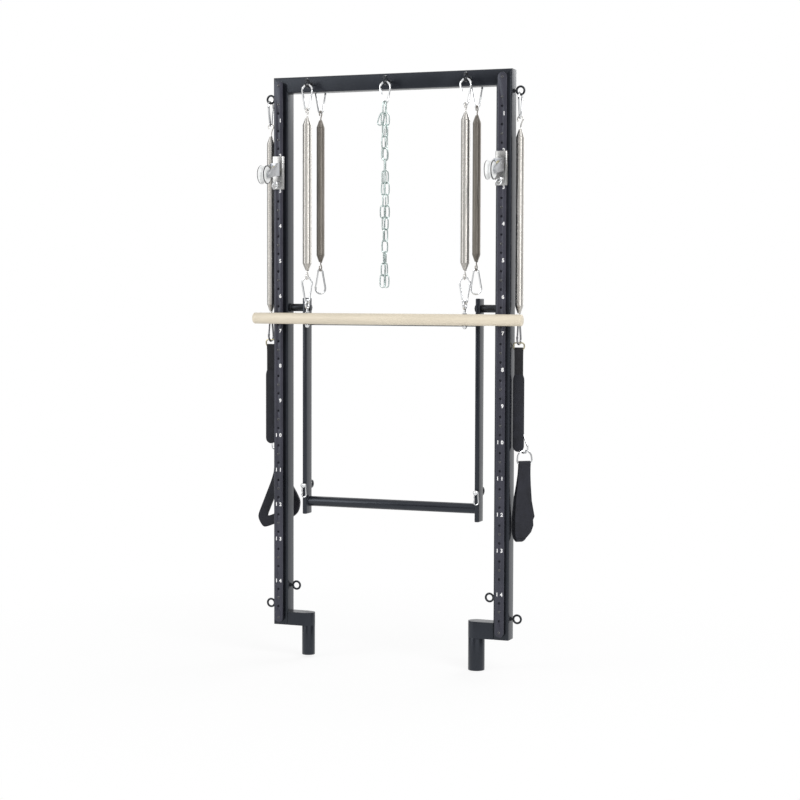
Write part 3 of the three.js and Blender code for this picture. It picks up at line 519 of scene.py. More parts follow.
def arc(centre: tuple[float, float], radius: float, start: float, end: float, steps: int) -> list[Place]:
    """Points of an arc in the plane of X and Z.

    Args:
        centre: Its centre's X and Z.
        radius: Its radius.
        start: The first angle, in radians.
        end: The last angle.
        steps: Steps between them.

    Returns:
        The points.
    """
    turns = [start + (end - start) * i / steps for i in range(steps + 1)]
    return [(centre[0] + radius * math.cos(t), 0.0, centre[1] + radius * math.sin(t)) for t in turns]


def ribbon(
    name: str, path: Outline, width: float, thickness: float,
    span: Callable[[float, float], tuple[float, float]] | None = None, rows: int = 8, edge: float = 0.8,
) -> Piece:
    """A flat band that follows a path in the plane of Y and Z, with its width along X.

    Args:
        name: The piece's name.
        path: Pairs of Y and Z.
        width: Its width, where no span is given.
        thickness: Its thickness, on both sides of the path.
        span: Takes a Y and a Z and gives the lowest and highest X there.
        rows: Faces across the band.
        edge: The round of its edges.

    Returns:
        The band.
    """
    y, z = path[0]
    bpy.ops.mesh.primitive_grid_add(x_subdivisions=rows, y_subdivisions=1, size=1, location=(0, y, z))
    piece = scaled(name, width, 0.01, 1)
    mark(piece, "EDGE", lambda way, middle: abs(way.x) > 0.9 and middle.y > y)
    with editing(piece):
        for next_y, next_z in path[1:]:
            extrude(0, next_y - y, next_z - z)
            y, z = next_y, next_z
    if span:
        for point in piece.data.vertices:
            low, high = span(point.co.y, point.co.z)
            point.co.x = low + (high - low) * (point.co.x / width + 0.5)
    shaped(piece, "SOLIDIFY", thickness=thickness, offset=0, use_even_offset=True)
    return softened(outward(piece), edge, 2, 50)


def over(radius: float, height: float = 0.0) -> list[tuple[float, float]]:
    """A bend over a bar along X, as pairs of Y and Z.

    Args:
        radius: The bend's radius.
        height: The bar's height.

    Returns:
        The pairs, from front to back.
    """
    turns = [math.pi * (1.1 - 0.2 * i) for i in range(7)]
    return [(radius * math.cos(t), height + radius * math.sin(t)) for t in turns]


# Finishes


def preset(node: bpy.types.Node, values: dict[str, object]) -> None:
    """Sets a node's inputs by their names."""
    for key, value in values.items():
        node.inputs[key].default_value = value


class Nodes:
    """A node tree that is being wired."""

    def __init__(self, tree: bpy.types.NodeTree) -> None:
        """Takes up a tree."""
        self.tree = tree

    def add(self, kind: str, inputs: dict[str, object] | None = None, **settings: object) -> bpy.types.Node:
        """Adds a node.

        Args:
            kind: The node's type.
            inputs: What its inputs are set to.
            settings: Its properties.

        Returns:
            The node.
        """
        node = self.tree.nodes.new(kind)
        for key, value in settings.items():
            setattr(node, key, value)
        preset(node, inputs or {})
        return node

    def link(self, source: Socket, target: Socket) -> None:
        """Joins two sockets."""
        self.tree.links.new(source, target)

    def spread(self, value: Socket, low: float, high: float) -> Socket:
        """A value between two limits.

        Args:
            value: A value from 0 to 1.
            low: What 0 becomes.
            high: What 1 becomes.

        Returns:
            The new value.
        """
        node = self.add("ShaderNodeMapRange", {"To Min": low, "To Max": high})
        self.link(value, node.inputs["Value"])
        return node.outputs["Result"]

    def result(self, operation: str, first: Socket, second: Socket) -> Socket:
        """What an operation makes of two values.

        Args:
            operation: MULTIPLY or MAXIMUM.
            first: The first value.
            second: The second value.

        Returns:
            The result.
        """
        node = self.add("ShaderNodeMath", operation=operation)
        self.link(first, node.inputs[0])
        self.link(second, node.inputs[1])
        return node.outputs["Value"]


class Graph(Nodes):
    """The nodes of one material."""

    def __init__(self, name: str) -> None:
        """Starts a material with a plain shader.

        Args:
            name: The material's name.
        """
        self.material = bpy.data.materials.new(name)
        self.material.use_nodes = True
        super().__init__(self.material.node_tree)
        self.shader = self.tree.nodes["Principled BSDF"]
        self.place = self.add("ShaderNodeTexCoord").outputs["Object"]

    def stretched(self, *scale: float) -> Socket:
        """The surface's place, stretched along X, Y and Z.

        Args:
            scale: The stretch along each axis.

        Returns:
            The place.
        """
        mapping = self.add("ShaderNodeMapping", {"Scale": scale})
        self.link(self.place, mapping.inputs["Vector"])
        return mapping.outputs["Vector"]

    def noise(self, scale: float, detail: float = 3, place: Socket | None = None) -> Socket:
        """A cloudy pattern.

        Args:
            scale: Clouds in a metre.
            detail: Its fineness.
            place: Where it is read.

        Returns:
            Its value.
        """
        node = self.add("ShaderNodeTexNoise", {"Scale": scale, "Detail": detail})
        self.link(place or self.place, node.inputs["Vector"])
        return node.outputs["Fac"]

    def bands(self, scale: float, direction: str) -> Socket:
        """A pattern of bands.

        Args:
            scale: The bands' scale.
            direction: X, Y, Z or DIAGONAL.

        Returns:
            Its value.
        """
        node = self.add("ShaderNodeTexWave", {"Scale": scale}, bands_direction=direction)
        self.link(self.place, node.inputs["Vector"])
        return node.outputs["Fac"]

    def paint(self, value: Socket, stops: Sequence[tuple[float, Colour]]) -> None:
        """Colours the surface by a value.

        Args:
            value: The value.
            stops: Two pairs of value and colour, between which the colour blends.
        """
        node = self.add("ShaderNodeValToRGB")
        for element, (place, colour) in zip(node.color_ramp.elements, stops):
            element.position = place
            element.color = (*colour, 1)
        self.link(value, node.inputs["Fac"])
        self.link(node.outputs["Color"], self.shader.inputs["Base Color"])

    def polish(self, value: Socket, low: float, high: float) -> None:
        """Lets the roughness follow a value.

        Args:
            value: The value, from 0 to 1.
            low: The roughness at 0.
            high: The roughness at 1.
        """
        self.link(self.spread(value, low, high), self.shader.inputs["Roughness"])

    def relief(self, height: Socket, strength: float, depth: float) -> None:
        """Raises the surface.

        Args:
            height: The height, from 0 to 1.
            strength: How strongly it shows.
            depth: The real height, in metres.
        """
        bump = self.add("ShaderNodeBump", {"Strength": strength, "Distance": depth})
        self.link(height, bump.inputs["Height"])
        self.link(bump.outputs["Normal"], self.shader.inputs["Normal"])


@dataclass(frozen=True)
class Finish:
    """A surface, with its slot name, colour and gloss."""

    name: str
    slot: str
    colour: Colour
    roughness: float
    metallic: float = 0.0

    def shades(self, spread: float) -> list[tuple[float, Colour]]:
        """The colour's darker and lighter shade.

        Args:
            spread: How far they are from the colour, as a share.

        Returns:
            Two pairs of value and colour.
        """
        darker = tuple(c * (1 - spread) for c in self.colour)
        lighter = tuple(min(1.0, c * (1 + spread)) for c in self.colour)
        return [(0.3, darker), (0.7, lighter)]

    def material(self) -> bpy.types.Material:
        """The material, made once."""
        found = bpy.data.materials.get(self.name)
        if found:
            return found
        graph = Graph(self.name)
        preset(graph.shader, {"Metallic": self.metallic})
        self.detail(graph)
        return graph.material

    def detail(self, graph: Graph) -> None:
        """Adds the surface's pattern.

        Args:
            graph: The material's nodes.
        """
        cloud = graph.noise(60)
        graph.paint(cloud, self.shades(0.08))
        graph.polish(cloud, self.roughness * 0.9, self.roughness * 1.1)


@dataclass(frozen=True)
class PowderCoat(Finish):
    """Baked paint with a fine orange peel and faint rubbed patches."""

    peel: float = 0.00004
    gloss: Colour = (0.8, 0.88, 1.0)

    def detail(self, graph: Graph) -> None:
        """Adds the orange peel and the rubbed patches.

        Args:
            graph: The material's nodes.
        """
        preset(graph.shader, {"Specular Tint": (*self.gloss, 1)})
        patches = graph.noise(14, 5)
        graph.paint(patches, self.shades(0.22))
        graph.polish(patches, self.roughness - 0.06, self.roughness + 0.06)
        graph.relief(graph.noise(900, 2), 0.35, self.peel)


@dataclass(frozen=True)
class Plating(Finish):
    """Bright plating with faint smears."""

    def detail(self, graph: Graph) -> None:
        """Adds the smears.

        Args:
            graph: The material's nodes.
        """
        smears = graph.noise(45, 4, graph.stretched(1, 1, 0.4))
        graph.paint(smears, self.shades(0.07))
        graph.polish(smears, self.roughness * 0.6, self.roughness * 1.5)
        graph.relief(graph.noise(700, 2), 0.12, 0.00003)


@dataclass(frozen=True)
class DrawnSteel(Finish):
    """Spring wire with drawing marks round the coil."""

    def detail(self, graph: Graph) -> None:
        """Adds the drawing marks and faint lighter and darker streaks along the coil.

        Args:
            graph: The material's nodes.
        """
        graph.paint(graph.noise(9, 3, graph.stretched(1, 1, 0.25)), self.shades(0.07))
        marks = graph.noise(500, 2, graph.stretched(0.3, 0.3, 4))
        graph.polish(marks, self.roughness - 0.05, self.roughness + 0.05)
        graph.relief(marks, 0.02, 0.00002)


@dataclass(frozen=True)
class Timber(Finish):
    """Lacquered maple whose grain runs along X."""

    def detail(self, graph: Graph) -> None:
        """Adds the grain and the pores.

        Args:
            graph: The material's nodes.
        """
        figure = graph.noise(3.4, 6, graph.stretched(1.2, 26, 26))
        graph.paint(figure, [(0.36, tuple(c * 0.9 for c in self.colour)), (0.62, self.colour)])
        pores = graph.noise(26, 2, graph.stretched(3, 90, 90))
        graph.polish(pores, self.roughness - 0.05, self.roughness + 0.1)
        graph.relief(pores, 0.12, 0.00005)


@dataclass(frozen=True)
class Weave(Finish):
    """Black nylon cloth: ribs across the band and threads along it."""

    ribs: float = 330.0
    threads: float = 500.0
    depth: float = 0.0003

    def detail(self, graph: Graph) -> None:
        """Adds the ribs, the threads and a little lint.

        Args:
            graph: The material's nodes.
        """
        weave = graph.result("MULTIPLY", graph.bands(self.ribs, "Z"), graph.bands(self.threads, "X"))
        graph.paint(graph.noise(35, 5), self.shades(0.3))
        graph.polish(weave, self.roughness + 0.1, self.roughness - 0.1)
        preset(graph.shader, {"Sheen Weight": 0.06, "Sheen Roughness": 0.4})
        graph.relief(weave, 0.6, self.depth)


BLACK_PAINT = PowderCoat("Black powder coat", "black_paint", (0.011, 0.012, 0.016), 0.3)
STRIP_PAINT = PowderCoat("Strip coat", "strip_black", (0.036, 0.034, 0.046), 0.36, peel=0.00006)
BLACK_STEEL = PowderCoat("Black oxide", "black_steel", (0.014, 0.014, 0.015), 0.34)
SCREW_STEEL = Plating("Screw steel", "strip_black", (0.1, 0.1, 0.105), 0.22, 1.0)
CHROME = Plating("Chrome plating", "chrome", (0.72, 0.73, 0.74), 0.1, 1.0)
# A darker copy of the chrome plating: painted shade and painted dark reflection, for the side lines' lower
# snap hooks.
PAINTED_SHADE_CHROME = Plating("Chrome with painted shade", "chrome", (0.24, 0.24, 0.25), 0.14, 1.0)
CARRIAGE_STEEL = Plating("Carriage plating", "chrome", (0.42, 0.42, 0.415), 0.24, 1.0)
SPRING_STEEL = DrawnSteel("Spring steel", "spring_steel", (0.64, 0.62, 0.59), 0.12, 1.0)
# A darker, rougher copy of the spring steel: painted shade on the rear springs.
REAR_STEEL_PAINTED_SHADE = DrawnSteel("Rear spring steel", "spring_steel", (0.3, 0.275, 0.245), 0.42, 1.0)
ZINC = Plating("Zinc plating", "zinc", (0.5, 0.575, 0.56), 0.2, 1.0)
BRASS = Plating("Brass", "brass", (0.46, 0.42, 0.28), 0.2, 1.0)
MAPLE = Timber("Lacquered maple", "maple", (0.755, 0.675, 0.535), 0.36)
WEBBING = Weave("Nylon webbing", "webbing", (0.012, 0.012, 0.015), 0.76)
PADDING = Weave(
    "Padded nylon", "webbing", (0.011, 0.012, 0.019), 0.72, ribs=620, threads=620, depth=0.00015,
)
THREAD = Finish("Sewing thread", "webbing", (0.02, 0.02, 0.024), 0.8)
NYLON = Finish("Pale nylon", "nylon", (0.84, 0.85, 0.85), 0.3)
RIM_STEEL = Plating("Rim steel", "fork_grey", (0.06, 0.06, 0.065), 0.25, 1.0)
FORK_STEEL = Plating("Fork steel", "fork_grey", (0.5, 0.51, 0.53), 0.3, 1.0)
NUMBER_PAINT = Finish("Number paint", "strip_black", (0.93, 0.93, 0.93), 0.5)


def finished(
    piece: Piece, body: str | None, finish: Finish, replaces: Sequence[str] = (), angle: float = 35,
) -> Piece:
    """Scales a piece to metres, smooths it, paints it and ties it to its body.

    Args:
        piece: The piece, in millimetres.
        body: The body it rides on, or nothing for a spring, which rides on no body.
        finish: Its finish.
        replaces: The nodes it stands for.
        angle: The sharpest angle, in degrees, that is shaded smooth.

    Returns:
        The same piece.
    """
    piece.data.transform(Matrix.Scale(METRES, 4))
    piece.data.materials.clear()
    piece.data.materials.append(finish.material())
    select(piece)
    bpy.ops.object.shade_smooth_by_angle(angle=math.radians(angle))
    if body:
        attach(piece, body)
    if replaces:
        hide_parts(*replaces)
    LOG.info("%s rides on %s", piece.name, body)
    return piece


# Sizes that several parts share


@dataclass(frozen=True)
class Fit:
    """Sizes on which the parts meet, in millimetres."""

    seat: float = 0.3
    tube: float = 44.5
    width: float = 718.0
    height: float = 1575.0
    eye_radius: float = 11.0
    eye_wire: float = 3.0
    line_x: float = 238.0
    front_y: float = -55.15
    rear_y: float = 38.0
    side_x: float = 377.5
    strip_front: float = -37.25
    strip_top: float = 1551.3
    strip_low: float = 22.5
    first_row: float = 1547.0
    pitch: float = 25.0

    @property
    def upright_x(self) -> float:
        """The middle of the right upright."""
        return (self.width - self.tube) / 2

    @property
    def inner_x(self) -> float:
        """The inner face of the right upright."""
        return self.width / 2 - self.tube

    @property
    def rail_z(self) -> float:
        """The middle of the rail."""
        return self.height - self.tube / 2

    def row(self, number: int) -> float:
        """The height of a row of the strips."""
        return self.first_row - number * self.pitch


FIT = Fit()


def eyebolt(
    name: str, axis: Axis, base: float, sign: int, place: tuple[float, float], reach: float = 18.5,
) -> Piece:
    """An eye with its collar and hub, standing on a face.

    Args:
        name: The piece's name.
        axis: The shank's axis.
        base: Where the face is on that axis.
        sign: The side of the face on which the eye stands.
        place: The shank's place on the other two axes.
        reach: From the face to the eye's centre.

    Returns:
        The eyebolt.
    """
    eye = base + sign * reach
    a, b = place
    centre, hole = {
        Axis.X: ((eye, a, b), Axis.Y), Axis.Y: ((a, eye, b), Axis.X), Axis.Z: ((a, b, eye), Axis.X),
    }[axis]
    neck = eye - sign * (FIT.eye_radius - 1)
    profile = [(6.0, 0.0), (6.0, 2.4), (5.2, 3.0), (3.4, 3.4), (3.2, abs(neck - base))]
    foot = {Axis.X: (base, a, b), Axis.Y: (a, base, b), Axis.Z: (a, b, base)}[axis]
    stem = turned(name, Axis.Z, profile)
    way = axis.turn() if sign > 0 else axis.turn() @ Matrix.Rotation(math.pi, 4, "X")
    moved(stem, Matrix.Translation(foot) @ way)
    return joined(name, stem, torus(name + "_eye", hole, FIT.eye_radius, FIT.eye_wire, centre))


@dataclass(frozen=True)
class ArchFrame:
    """The painted steel arch: uprights, rail, feet, eyebolts and pivot pins."""

    body: str = "tower_frame"
    wall: float = 3.0
    corner: float = 4.0
    left_foot: float = 38.0
    right_foot: float = 47.0
    leg_x: float = 258.0
    left_leg: float = -85.0
    right_leg: float = -92.0
    side_eye_z: float = 1516.0
    outer_eye_z: float = 58.0
    inner_eye_z: float = 114.0
    pivot_z: float = 919.0
    pin_start: float = 250.0
    pin_end: float = 314.3

    def square_tube(self, name: str, axis: Axis, length: float, centre: Place) -> Piece:
        """A closed square tube whose long edges are rounded.

        Args:
            name: The piece's name.
            axis: Its axis.
            length: Its length.
            centre: Its middle.

        Returns:
            The tube.
        """
        bpy.ops.mesh.primitive_cube_add(size=1, location=(0, 0, 0))
        piece = scaled(name, FIT.tube, FIT.tube, length)
        mark(piece, "EDGE", lambda way, _: abs(way.z) > 0.9)
        with editing(piece):
            bpy.ops.mesh.bevel(offset=self.corner, segments=4, affect="EDGES")
        return moved(piece, Matrix.Translation(centre) @ axis.turn())

    def mitred(self, piece: Piece, side: Side, towards_rail: bool) -> None:
        """Cuts a tube at the corner's mitre.

        Args:
            piece: The tube.
            side: The corner's side.
            towards_rail: Whether what lies on the rail's side is cut away.
        """
        sign = side.value
        normal = Vector((-sign, 0, 1)).normalized()
        with editing(piece, "SELECT"):
            bpy.ops.mesh.bisect(
                plane_co=(sign * FIT.upright_x, 0, FIT.rail_z), plane_no=normal, use_fill=True,
                clear_outer=towards_rail, clear_inner=not towards_rail,
            )

    def upright(self, side: Side) -> None:
        """Makes one upright with its upper side eyebolt.

        Args:
            side: Its side.
        """
        x = side.value * FIT.upright_x
        name = f"{side.word}_upright_tube"
        piece = self.square_tube(name, Axis.Z, FIT.height, (x, 0, FIT.height / 2))
        self.mitred(piece, side, True)
        drop_faces(piece, lambda normal, _: normal.z < -0.9)
        shaped(piece, "SOLIDIFY", thickness=self.wall, offset=-1)
        finished(piece, self.body, BLACK_PAINT, [f"{side.word}_upright"])
        face, place = side.value * FIT.width / 2, (0, self.side_eye_z)
        eye = eyebolt(f"{side.word}_upper_side_eyebolt", Axis.X, face, side.value, place)
        finished(eye, self.body, BLACK_STEEL)

    def rail(self) -> None:
        """Makes the rail and what is bolted through it."""
        rail = self.square_tube("rail_tube", Axis.X, FIT.width, (0, 0, FIT.rail_z))
        for side in Side:
            self.mitred(rail, side, False)
        finished(rail, self.body, BLACK_PAINT, ["top_rail"])
        face = FIT.tube / 2
        reach = -face - FIT.front_y
        for word, x in (("left", -FIT.line_x), ("middle", 0.0), ("right", FIT.line_x)):
            eye = eyebolt(f"{word}_rail_eyebolt", Axis.Y, -face, -1, (x, FIT.rail_z), reach)
            finished(eye, self.body, BLACK_STEEL)
            if x:
                nut = eyebolt(f"{word}_rail_eye_nut", Axis.Y, face, 1, (x, FIT.rail_z), FIT.rear_y - face)
            else:
                nut = joined(
                    "middle_rail_nut",
                    rod("hexagon", Axis.Y, 7.5, face, face + 6, (x, FIT.rail_z), 0.8, 6),
                    rod("tip", Axis.Y, 3, face + 5, face + 9, (x, FIT.rail_z), 0.6),
                )
            finished(nut, self.body, BLACK_STEEL)

    def foot(self, side: Side, across: float, low: float) -> None:
        """Makes one foot: the arm with its weld, and the leg.

        Args:
            side: Its side.
            across: The height of the arm, and the leg's diameter.
            low: The leg's lower end.
        """
        sign = side.value
        leg_x, end = self.leg_x, FIT.inner_x - FIT.seat
        length = end - leg_x - 6
        arm = block("arm", (length, FIT.tube, across), (sign * (end - length / 2), 0, across / 2), 0.05, 1)
        crown = rod("crown", Axis.Z, across / 2, 0, across, (sign * leg_x, 0), sides=48)
        arm = softened(hull(joined("arm", arm, crown)), 3.2, 4, 50)
        leg = tube("leg", Axis.Z, across / 2 - 0.3, self.wall, low, 3.5, (sign * leg_x, 0), 1.4)
        piece = joined(f"{side.word}_foot_arm", arm, leg)
        finished(piece, self.body, BLACK_PAINT, [f"{side.word}_foot"])
        half_y, half_z = FIT.tube / 2 - 2, across / 2 - 2
        corners = [(-half_y, -half_z), (half_y, -half_z), (half_y, half_z), (-half_y, half_z)]
        points = []
        for (y0, z0), (y1, z1) in zip(corners, corners[1:] + corners[:1]):
            for t in range(6):
                y, z = y0 + (y1 - y0) * t / 6, across / 2 + z0 + (z1 - z0) * t / 6
                points.append((sign * (end - 1.0), y, z))
        bead = wire(f"{side.word}_foot_weld", points, 2.1, closed=True, steps=2)
        finished(bead, self.body, BLACK_PAINT)

    def fittings(self, side: Side) -> None:
        """Makes the lower eyebolts and the pivot pin of one side.

        Args:
            side: Their side.
        """
        sign, word = side.value, side.word
        for place, face, way, z in (
            ("outer", FIT.width / 2, sign, self.outer_eye_z),
            ("inner", FIT.inner_x, -sign, self.inner_eye_z),
        ):
            eye = eyebolt(f"{word}_{place}_eyebolt", Axis.X, sign * face, way, (0, z))
            finished(eye, self.body, BLACK_STEEL, [f"{word}_lower_{place}_eyebolt"])
        pivot, end = (0.0, self.pivot_z), sign * self.pin_end
        pin = joined(
            f"{word}_pivot",
            rod("spacer", Axis.X, 11, sign * 269.3, end, pivot, 1.2, 48),
            rod("collar", Axis.X, 12.2, sign * 309.5, end, pivot, 0.8, 48),
            rod("shank", Axis.X, 5, sign * 252, sign * 272, pivot),
            rod("head", Axis.X, 10.2, sign * self.pin_start, sign * 256, pivot, 1.0, 6),
        )
        finished(pin, self.body, BLACK_STEEL, [f"{word}_pivot_pin"])

    def build(self) -> None:
        """Makes the whole frame."""
        self.rail()
        feet = (Side.LEFT, self.left_foot, self.left_leg), (Side.RIGHT, self.right_foot, self.right_leg)
        for side, across, low in feet:
            self.upright(side)
            self.foot(side, across, low)
            self.fittings(side)


@dataclass(frozen=True)
class ScaleStrips:
    """The numbered strips: a flange with holes, its rib, screws and numbers."""

    body: str = "tower_frame"
    half: float = 13.0
    flange: float = 5.0
    rib: float = 14.0
    low_hole: float = 105.5
    low_screw: float = 80.5
    last_number: float = 129.3
    digit_size: float = 14.2

    def stadium(self, name: str, half: float, front: float, back: float, x: float) -> Piece:
        """A long plate with round ends.

        Args:
            name: The piece's name.
            half: Half its width.
            front: The Y of its front.
            back: The Y of its back.
            x: Its middle.

        Returns:
            The plate.
        """
        low, high = FIT.strip_low, FIT.strip_top
        piece = rod(name, Axis.Y, half, front, back, (x, low), sides=32)
        half_step = Matrix.Rotation(math.pi / 32, 4, "Y")
        moved(piece, shift(x, 0, low) @ half_step @ shift(-x, 0, -low))
        for point in piece.data.vertices:
            if point.co.z > low:
                point.co.z += high - low
        return piece

    def screw(self) -> Piece:
        """One button-head screw at the origin, facing up."""
        profile = [(3.9, 0.0), (3.9, 0.4), (3.5, 0.9), (2.6, 1.35), (1.4, 1.55), (0.4, 1.6)]
        return turned("screw", Axis.Z, profile, sides=18)

    def strip(self, side: Side) -> None:
        """Makes one strip.

        Args:
            side: Its side.
        """
        x, word = side.value * FIT.upright_x, side.word
        front = FIT.strip_front
        plate = self.stadium("plate", self.half, front, front + self.flange, x)
        holes = [FIT.row(n) for n in range(3, 56, 2)] + [self.low_hole, self.low_hole - 2 * FIT.pitch]
        cutters = [
            rod("cutter", Axis.Y, 3.6, front - 3, front + self.flange + 3, (x, z), sides=20) for z in holes
        ]
        softened(cut(plate, joined("cutters", *cutters)), 0.5, 2, 50)
        rib = self.stadium("rib", self.rib / 2, front + self.flange - 0.4, -FIT.tube / 2 - FIT.seat, x)
        finished(joined(f"{word}_strip", plate, rib), self.body, STRIP_PAINT, [f"{word}_scale_strip"])

        heights = [FIT.strip_top, self.low_screw, FIT.strip_low] + [FIT.row(n) for n in range(2, 55, 4)]
        places = [shift(x, front, z) @ Axis.FRONT.turn() for z in heights]
        finished(strewn(f"{word}_strip_screws", self.screw(), places), self.body, SCREW_STEEL)

    def digit(self, text: str, x: float, z: float) -> Piece:
        """One printed digit.

        Args:
            text: The digit.
            x: Its middle.
            z: Its middle.

        Returns:
            The digit as a mesh.
        """
        bpy.ops.object.text_add(location=(x, FIT.strip_front - 0.02, z), rotation=(math.pi / 2, 0, 0))
        letter = bpy.context.object.data
        letter.body = text
        letter.size = self.digit_size
        letter.align_x = letter.align_y = "CENTER"
        letter.extrude = 0.03
        letter.offset = 0.5
        letter.resolution_u = 4
        select(bpy.context.object)
        bpy.ops.object.convert(target="MESH")
        return settle(named("digit"))

    def numbers(self, side: Side) -> None:
        """Prints the numbers of one strip.

        Args:
            side: Its side.
        """
        digits = []
        for number in range(1, 15):
            z = FIT.strip_top - 4 * FIT.pitch * number if number < 14 else self.last_number
            text = str(number)
            spots = [6.0] if len(text) == 1 else [-6.3, 6.3]
            digits += [self.digit(t, side.value * FIT.upright_x + dx, z) for t, dx in zip(text, spots)]
        finished(joined(f"{side.word}_strip_numbers", *digits), self.body, NUMBER_PAINT)

    def build(self) -> None:
        """Makes both strips."""
        for side in Side:
            self.strip(side)
            self.numbers(side)


@dataclass(frozen=True)
class SnapHook:
    """A pear-shaped snap hook with its gate, hung from the middle of its top wire."""

    length: float = 76.0
    width: float = 36.0
    narrow: float = 19.0
    gauge: float = 2.75

    def made(self, name: str, matrix: Matrix, wide_up: bool = True) -> Piece:
        """Models the hook in the plane of X and Z.

        Args:
            name: The piece's name.
            matrix: Its place.
            wide_up: Whether its wide end is up.

        Returns:
            The hook.
        """
        wide, slim = self.width / 2 - self.gauge, self.narrow / 2 - self.gauge
        reach = self.length - 2 * self.gauge
        tilt = math.asin((wide - slim) / (reach - wide - slim))
        head = arc((0, -wide), wide, math.pi + tilt, -tilt, 14)
        foot = arc((0, -reach + slim), slim, -tilt, -math.pi - tilt, 10)
        left = [tuple(Vector(foot[-1]).lerp(Vector(head[0]), t)) for t in (0.2, 0.5, 0.8)]
        body = wire(f"{name}_wire", foot + left + head, self.gauge, steps=3)
        nose, hinge = Vector(head[-1]), Vector(foot[0])
        along = (hinge - nose).normalized()
        turn = along.to_track_quat("Z", "Y").to_matrix().to_4x4()
        length = (hinge - nose).length
        barrel, pin, foot_end = self.gauge * 1.12, self.gauge * 0.84, self.gauge * 1.05
        profile = [
            (self.gauge, -2.0), (barrel, -1.2), (barrel, 3.0), (pin, 3.8), (pin, length - 3.0),
            (foot_end, length - 2.0), (foot_end, length + 1.0),
        ]
        gate = moved(turned(f"{name}_gate", Axis.Z, profile, sides=16), Matrix.Translation(nose) @ turn)
        knuckle = rod(f"{name}_rivet", Axis.Y, 1.3, -barrel, barrel, (hinge.x, hinge.z + 1.5), 0.3, 12)
        piece = joined(name, body, gate, knuckle)
        if not wide_up:
            moved(piece, shift(0, 0, -reach) @ Matrix.Rotation(math.pi, 4, "Y"))
        return moved(piece, matrix)


SNAP = SnapHook()
CHAIN_SNAP = SnapHook(65.0, 36.0, 21.0)
ARM_LINK = SnapHook(42.0, 17.0, 14.4, 1.7)


@dataclass(frozen=True)
class Coil:
    """A close-wound spring with tapered ends and a hook at each."""

    radius: float
    reach: float
    length: float
    lower_reach: float
    gauge: float = 1.4
    cone: float = 20.0
    waist: float = 3.4
    hook: float = 8.0

    def winding(self, name: str, top: float) -> Piece:
        """Winds the coil about Z.

        Args:
            name: The piece's name.
            top: The coil's top.

        Returns:
            The coil.
        """
        turns = round(self.length / (2 * self.gauge))
        rise = self.length / turns
        bottom = top - self.length
        middle = self.radius - self.gauge
        bpy.ops.mesh.primitive_circle_add(
            vertices=7, radius=self.gauge, location=(middle, 0, bottom), rotation=(math.pi / 2, 0, 0),
        )
        piece = settle(named(name))
        shaped(
            piece, "SCREW", angle=2 * math.pi, screw_offset=rise, iterations=turns, steps=16,
            render_steps=16, use_smooth_shade=True, axis="Z",
        )
        for point in piece.data.vertices:
            z = point.co.z
            share = max(0.0, min(1.0, min(top - z, z - bottom) / self.cone))
            radius = self.waist + (middle - self.waist) * share
            out = Vector((point.co.x, point.co.y, 0))
            point.co += out.normalized() * (radius - middle)
        return outward(piece)

    def hooked(self, name: str, top: float, way: Vector, up: int) -> Piece:
        """Bends the hook at one end.

        Args:
            name: The piece's name.
            top: The coil's end.
            way: The level direction in whose plane it lies.
            up: 1 for the upper end and -1 for the lower.

        Returns:
            The hook.
        """
        reach = self.reach if up > 0 else self.lower_reach
        centre = top + up * (reach - self.hook)
        points = []
        for turn in range(225, -46, -30):
            angle = math.radians(turn)
            height = Vector((0, 0, centre + up * self.hook * math.sin(angle)))
            points.append(way * (self.hook * math.cos(angle)) + height)
        points.append(way * self.waist * 0.4 + Vector((0, 0, top + up * (reach - 2 * self.hook) * 0.45)))
        points.append(way * self.waist + Vector((0, 0, top - up * 1.5)))
        return wire(name, points, 1.8, steps=4)

    def made(self, name: str, hook_top: float, way: Vector, x: float, y: float) -> Piece:
        """Makes the whole spring.

        Args:
            name: The piece's name.
            hook_top: The height of the upper hook's wire.
            way: The level direction in whose plane the hooks lie.
            x: The spring's place.
            y: The spring's place.

        Returns:
            The spring.
        """
        top = hook_top - self.reach
        piece = joined(
            name,
            self.winding(f"{name}_coil", top),
            self.hooked(f"{name}_top", top, way, 1),
            self.hooked(f"{name}_foot", top - self.length, way, -1),
        )
        return moved(piece, shift(x, y, 0))


HOOK_STEP = 5.05
SNAP_REACH = 70.5
LINE_TOP = 1547.8
SIDE_TOP = 1511.05


@dataclass(frozen=True)
class SpringLine:
    """A spring that hangs between two snap hooks."""

    kind: str
    coil: Coil
    steel: Finish
    top: float
    x: float
    y: float
    edge_on: bool = False
    wide_foot: bool = False
    foot_finish: Finish = CHROME
    upper_grip: float = 12.0
    lower_grip: float = 20.0

    def hang(self, side: Side, upper: str, lower: str) -> None:
        """Hangs the line on one side.

        Args:
            side: Its side.
            upper: The body that carries it.
            lower: The body that pulls it.
        """
        name = f"{side.word}_{self.kind}"
        x, y = side.value * self.x, self.y
        turn = Matrix.Rotation(math.pi / 2, 4, "Z") if self.edge_on else Matrix.Identity(4)
        way = Vector((1, 0, 0)) if self.edge_on else Vector((0, 1, 0))
        hook = SNAP.made(f"{name}_top_hook", shift(x, y, self.top) @ turn)
        finished(hook, upper, CHROME, [f"{name}_upper_snap"])
        start = self.top - SNAP_REACH + HOOK_STEP
        piece = self.coil.made(f"{name}_coil", start, way, x, y)
        finished(piece, None, self.steel, [f"{name}_spring"], 60)
        end = start - self.coil.reach - self.coil.length - self.coil.lower_reach
        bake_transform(piece)
        hook = SNAP.made(f"{name}_foot_hook", shift(x, y, end + HOOK_STEP) @ turn, self.wide_foot)
        finished(hook, lower, self.foot_finish, [f"{name}_lower_snap"])


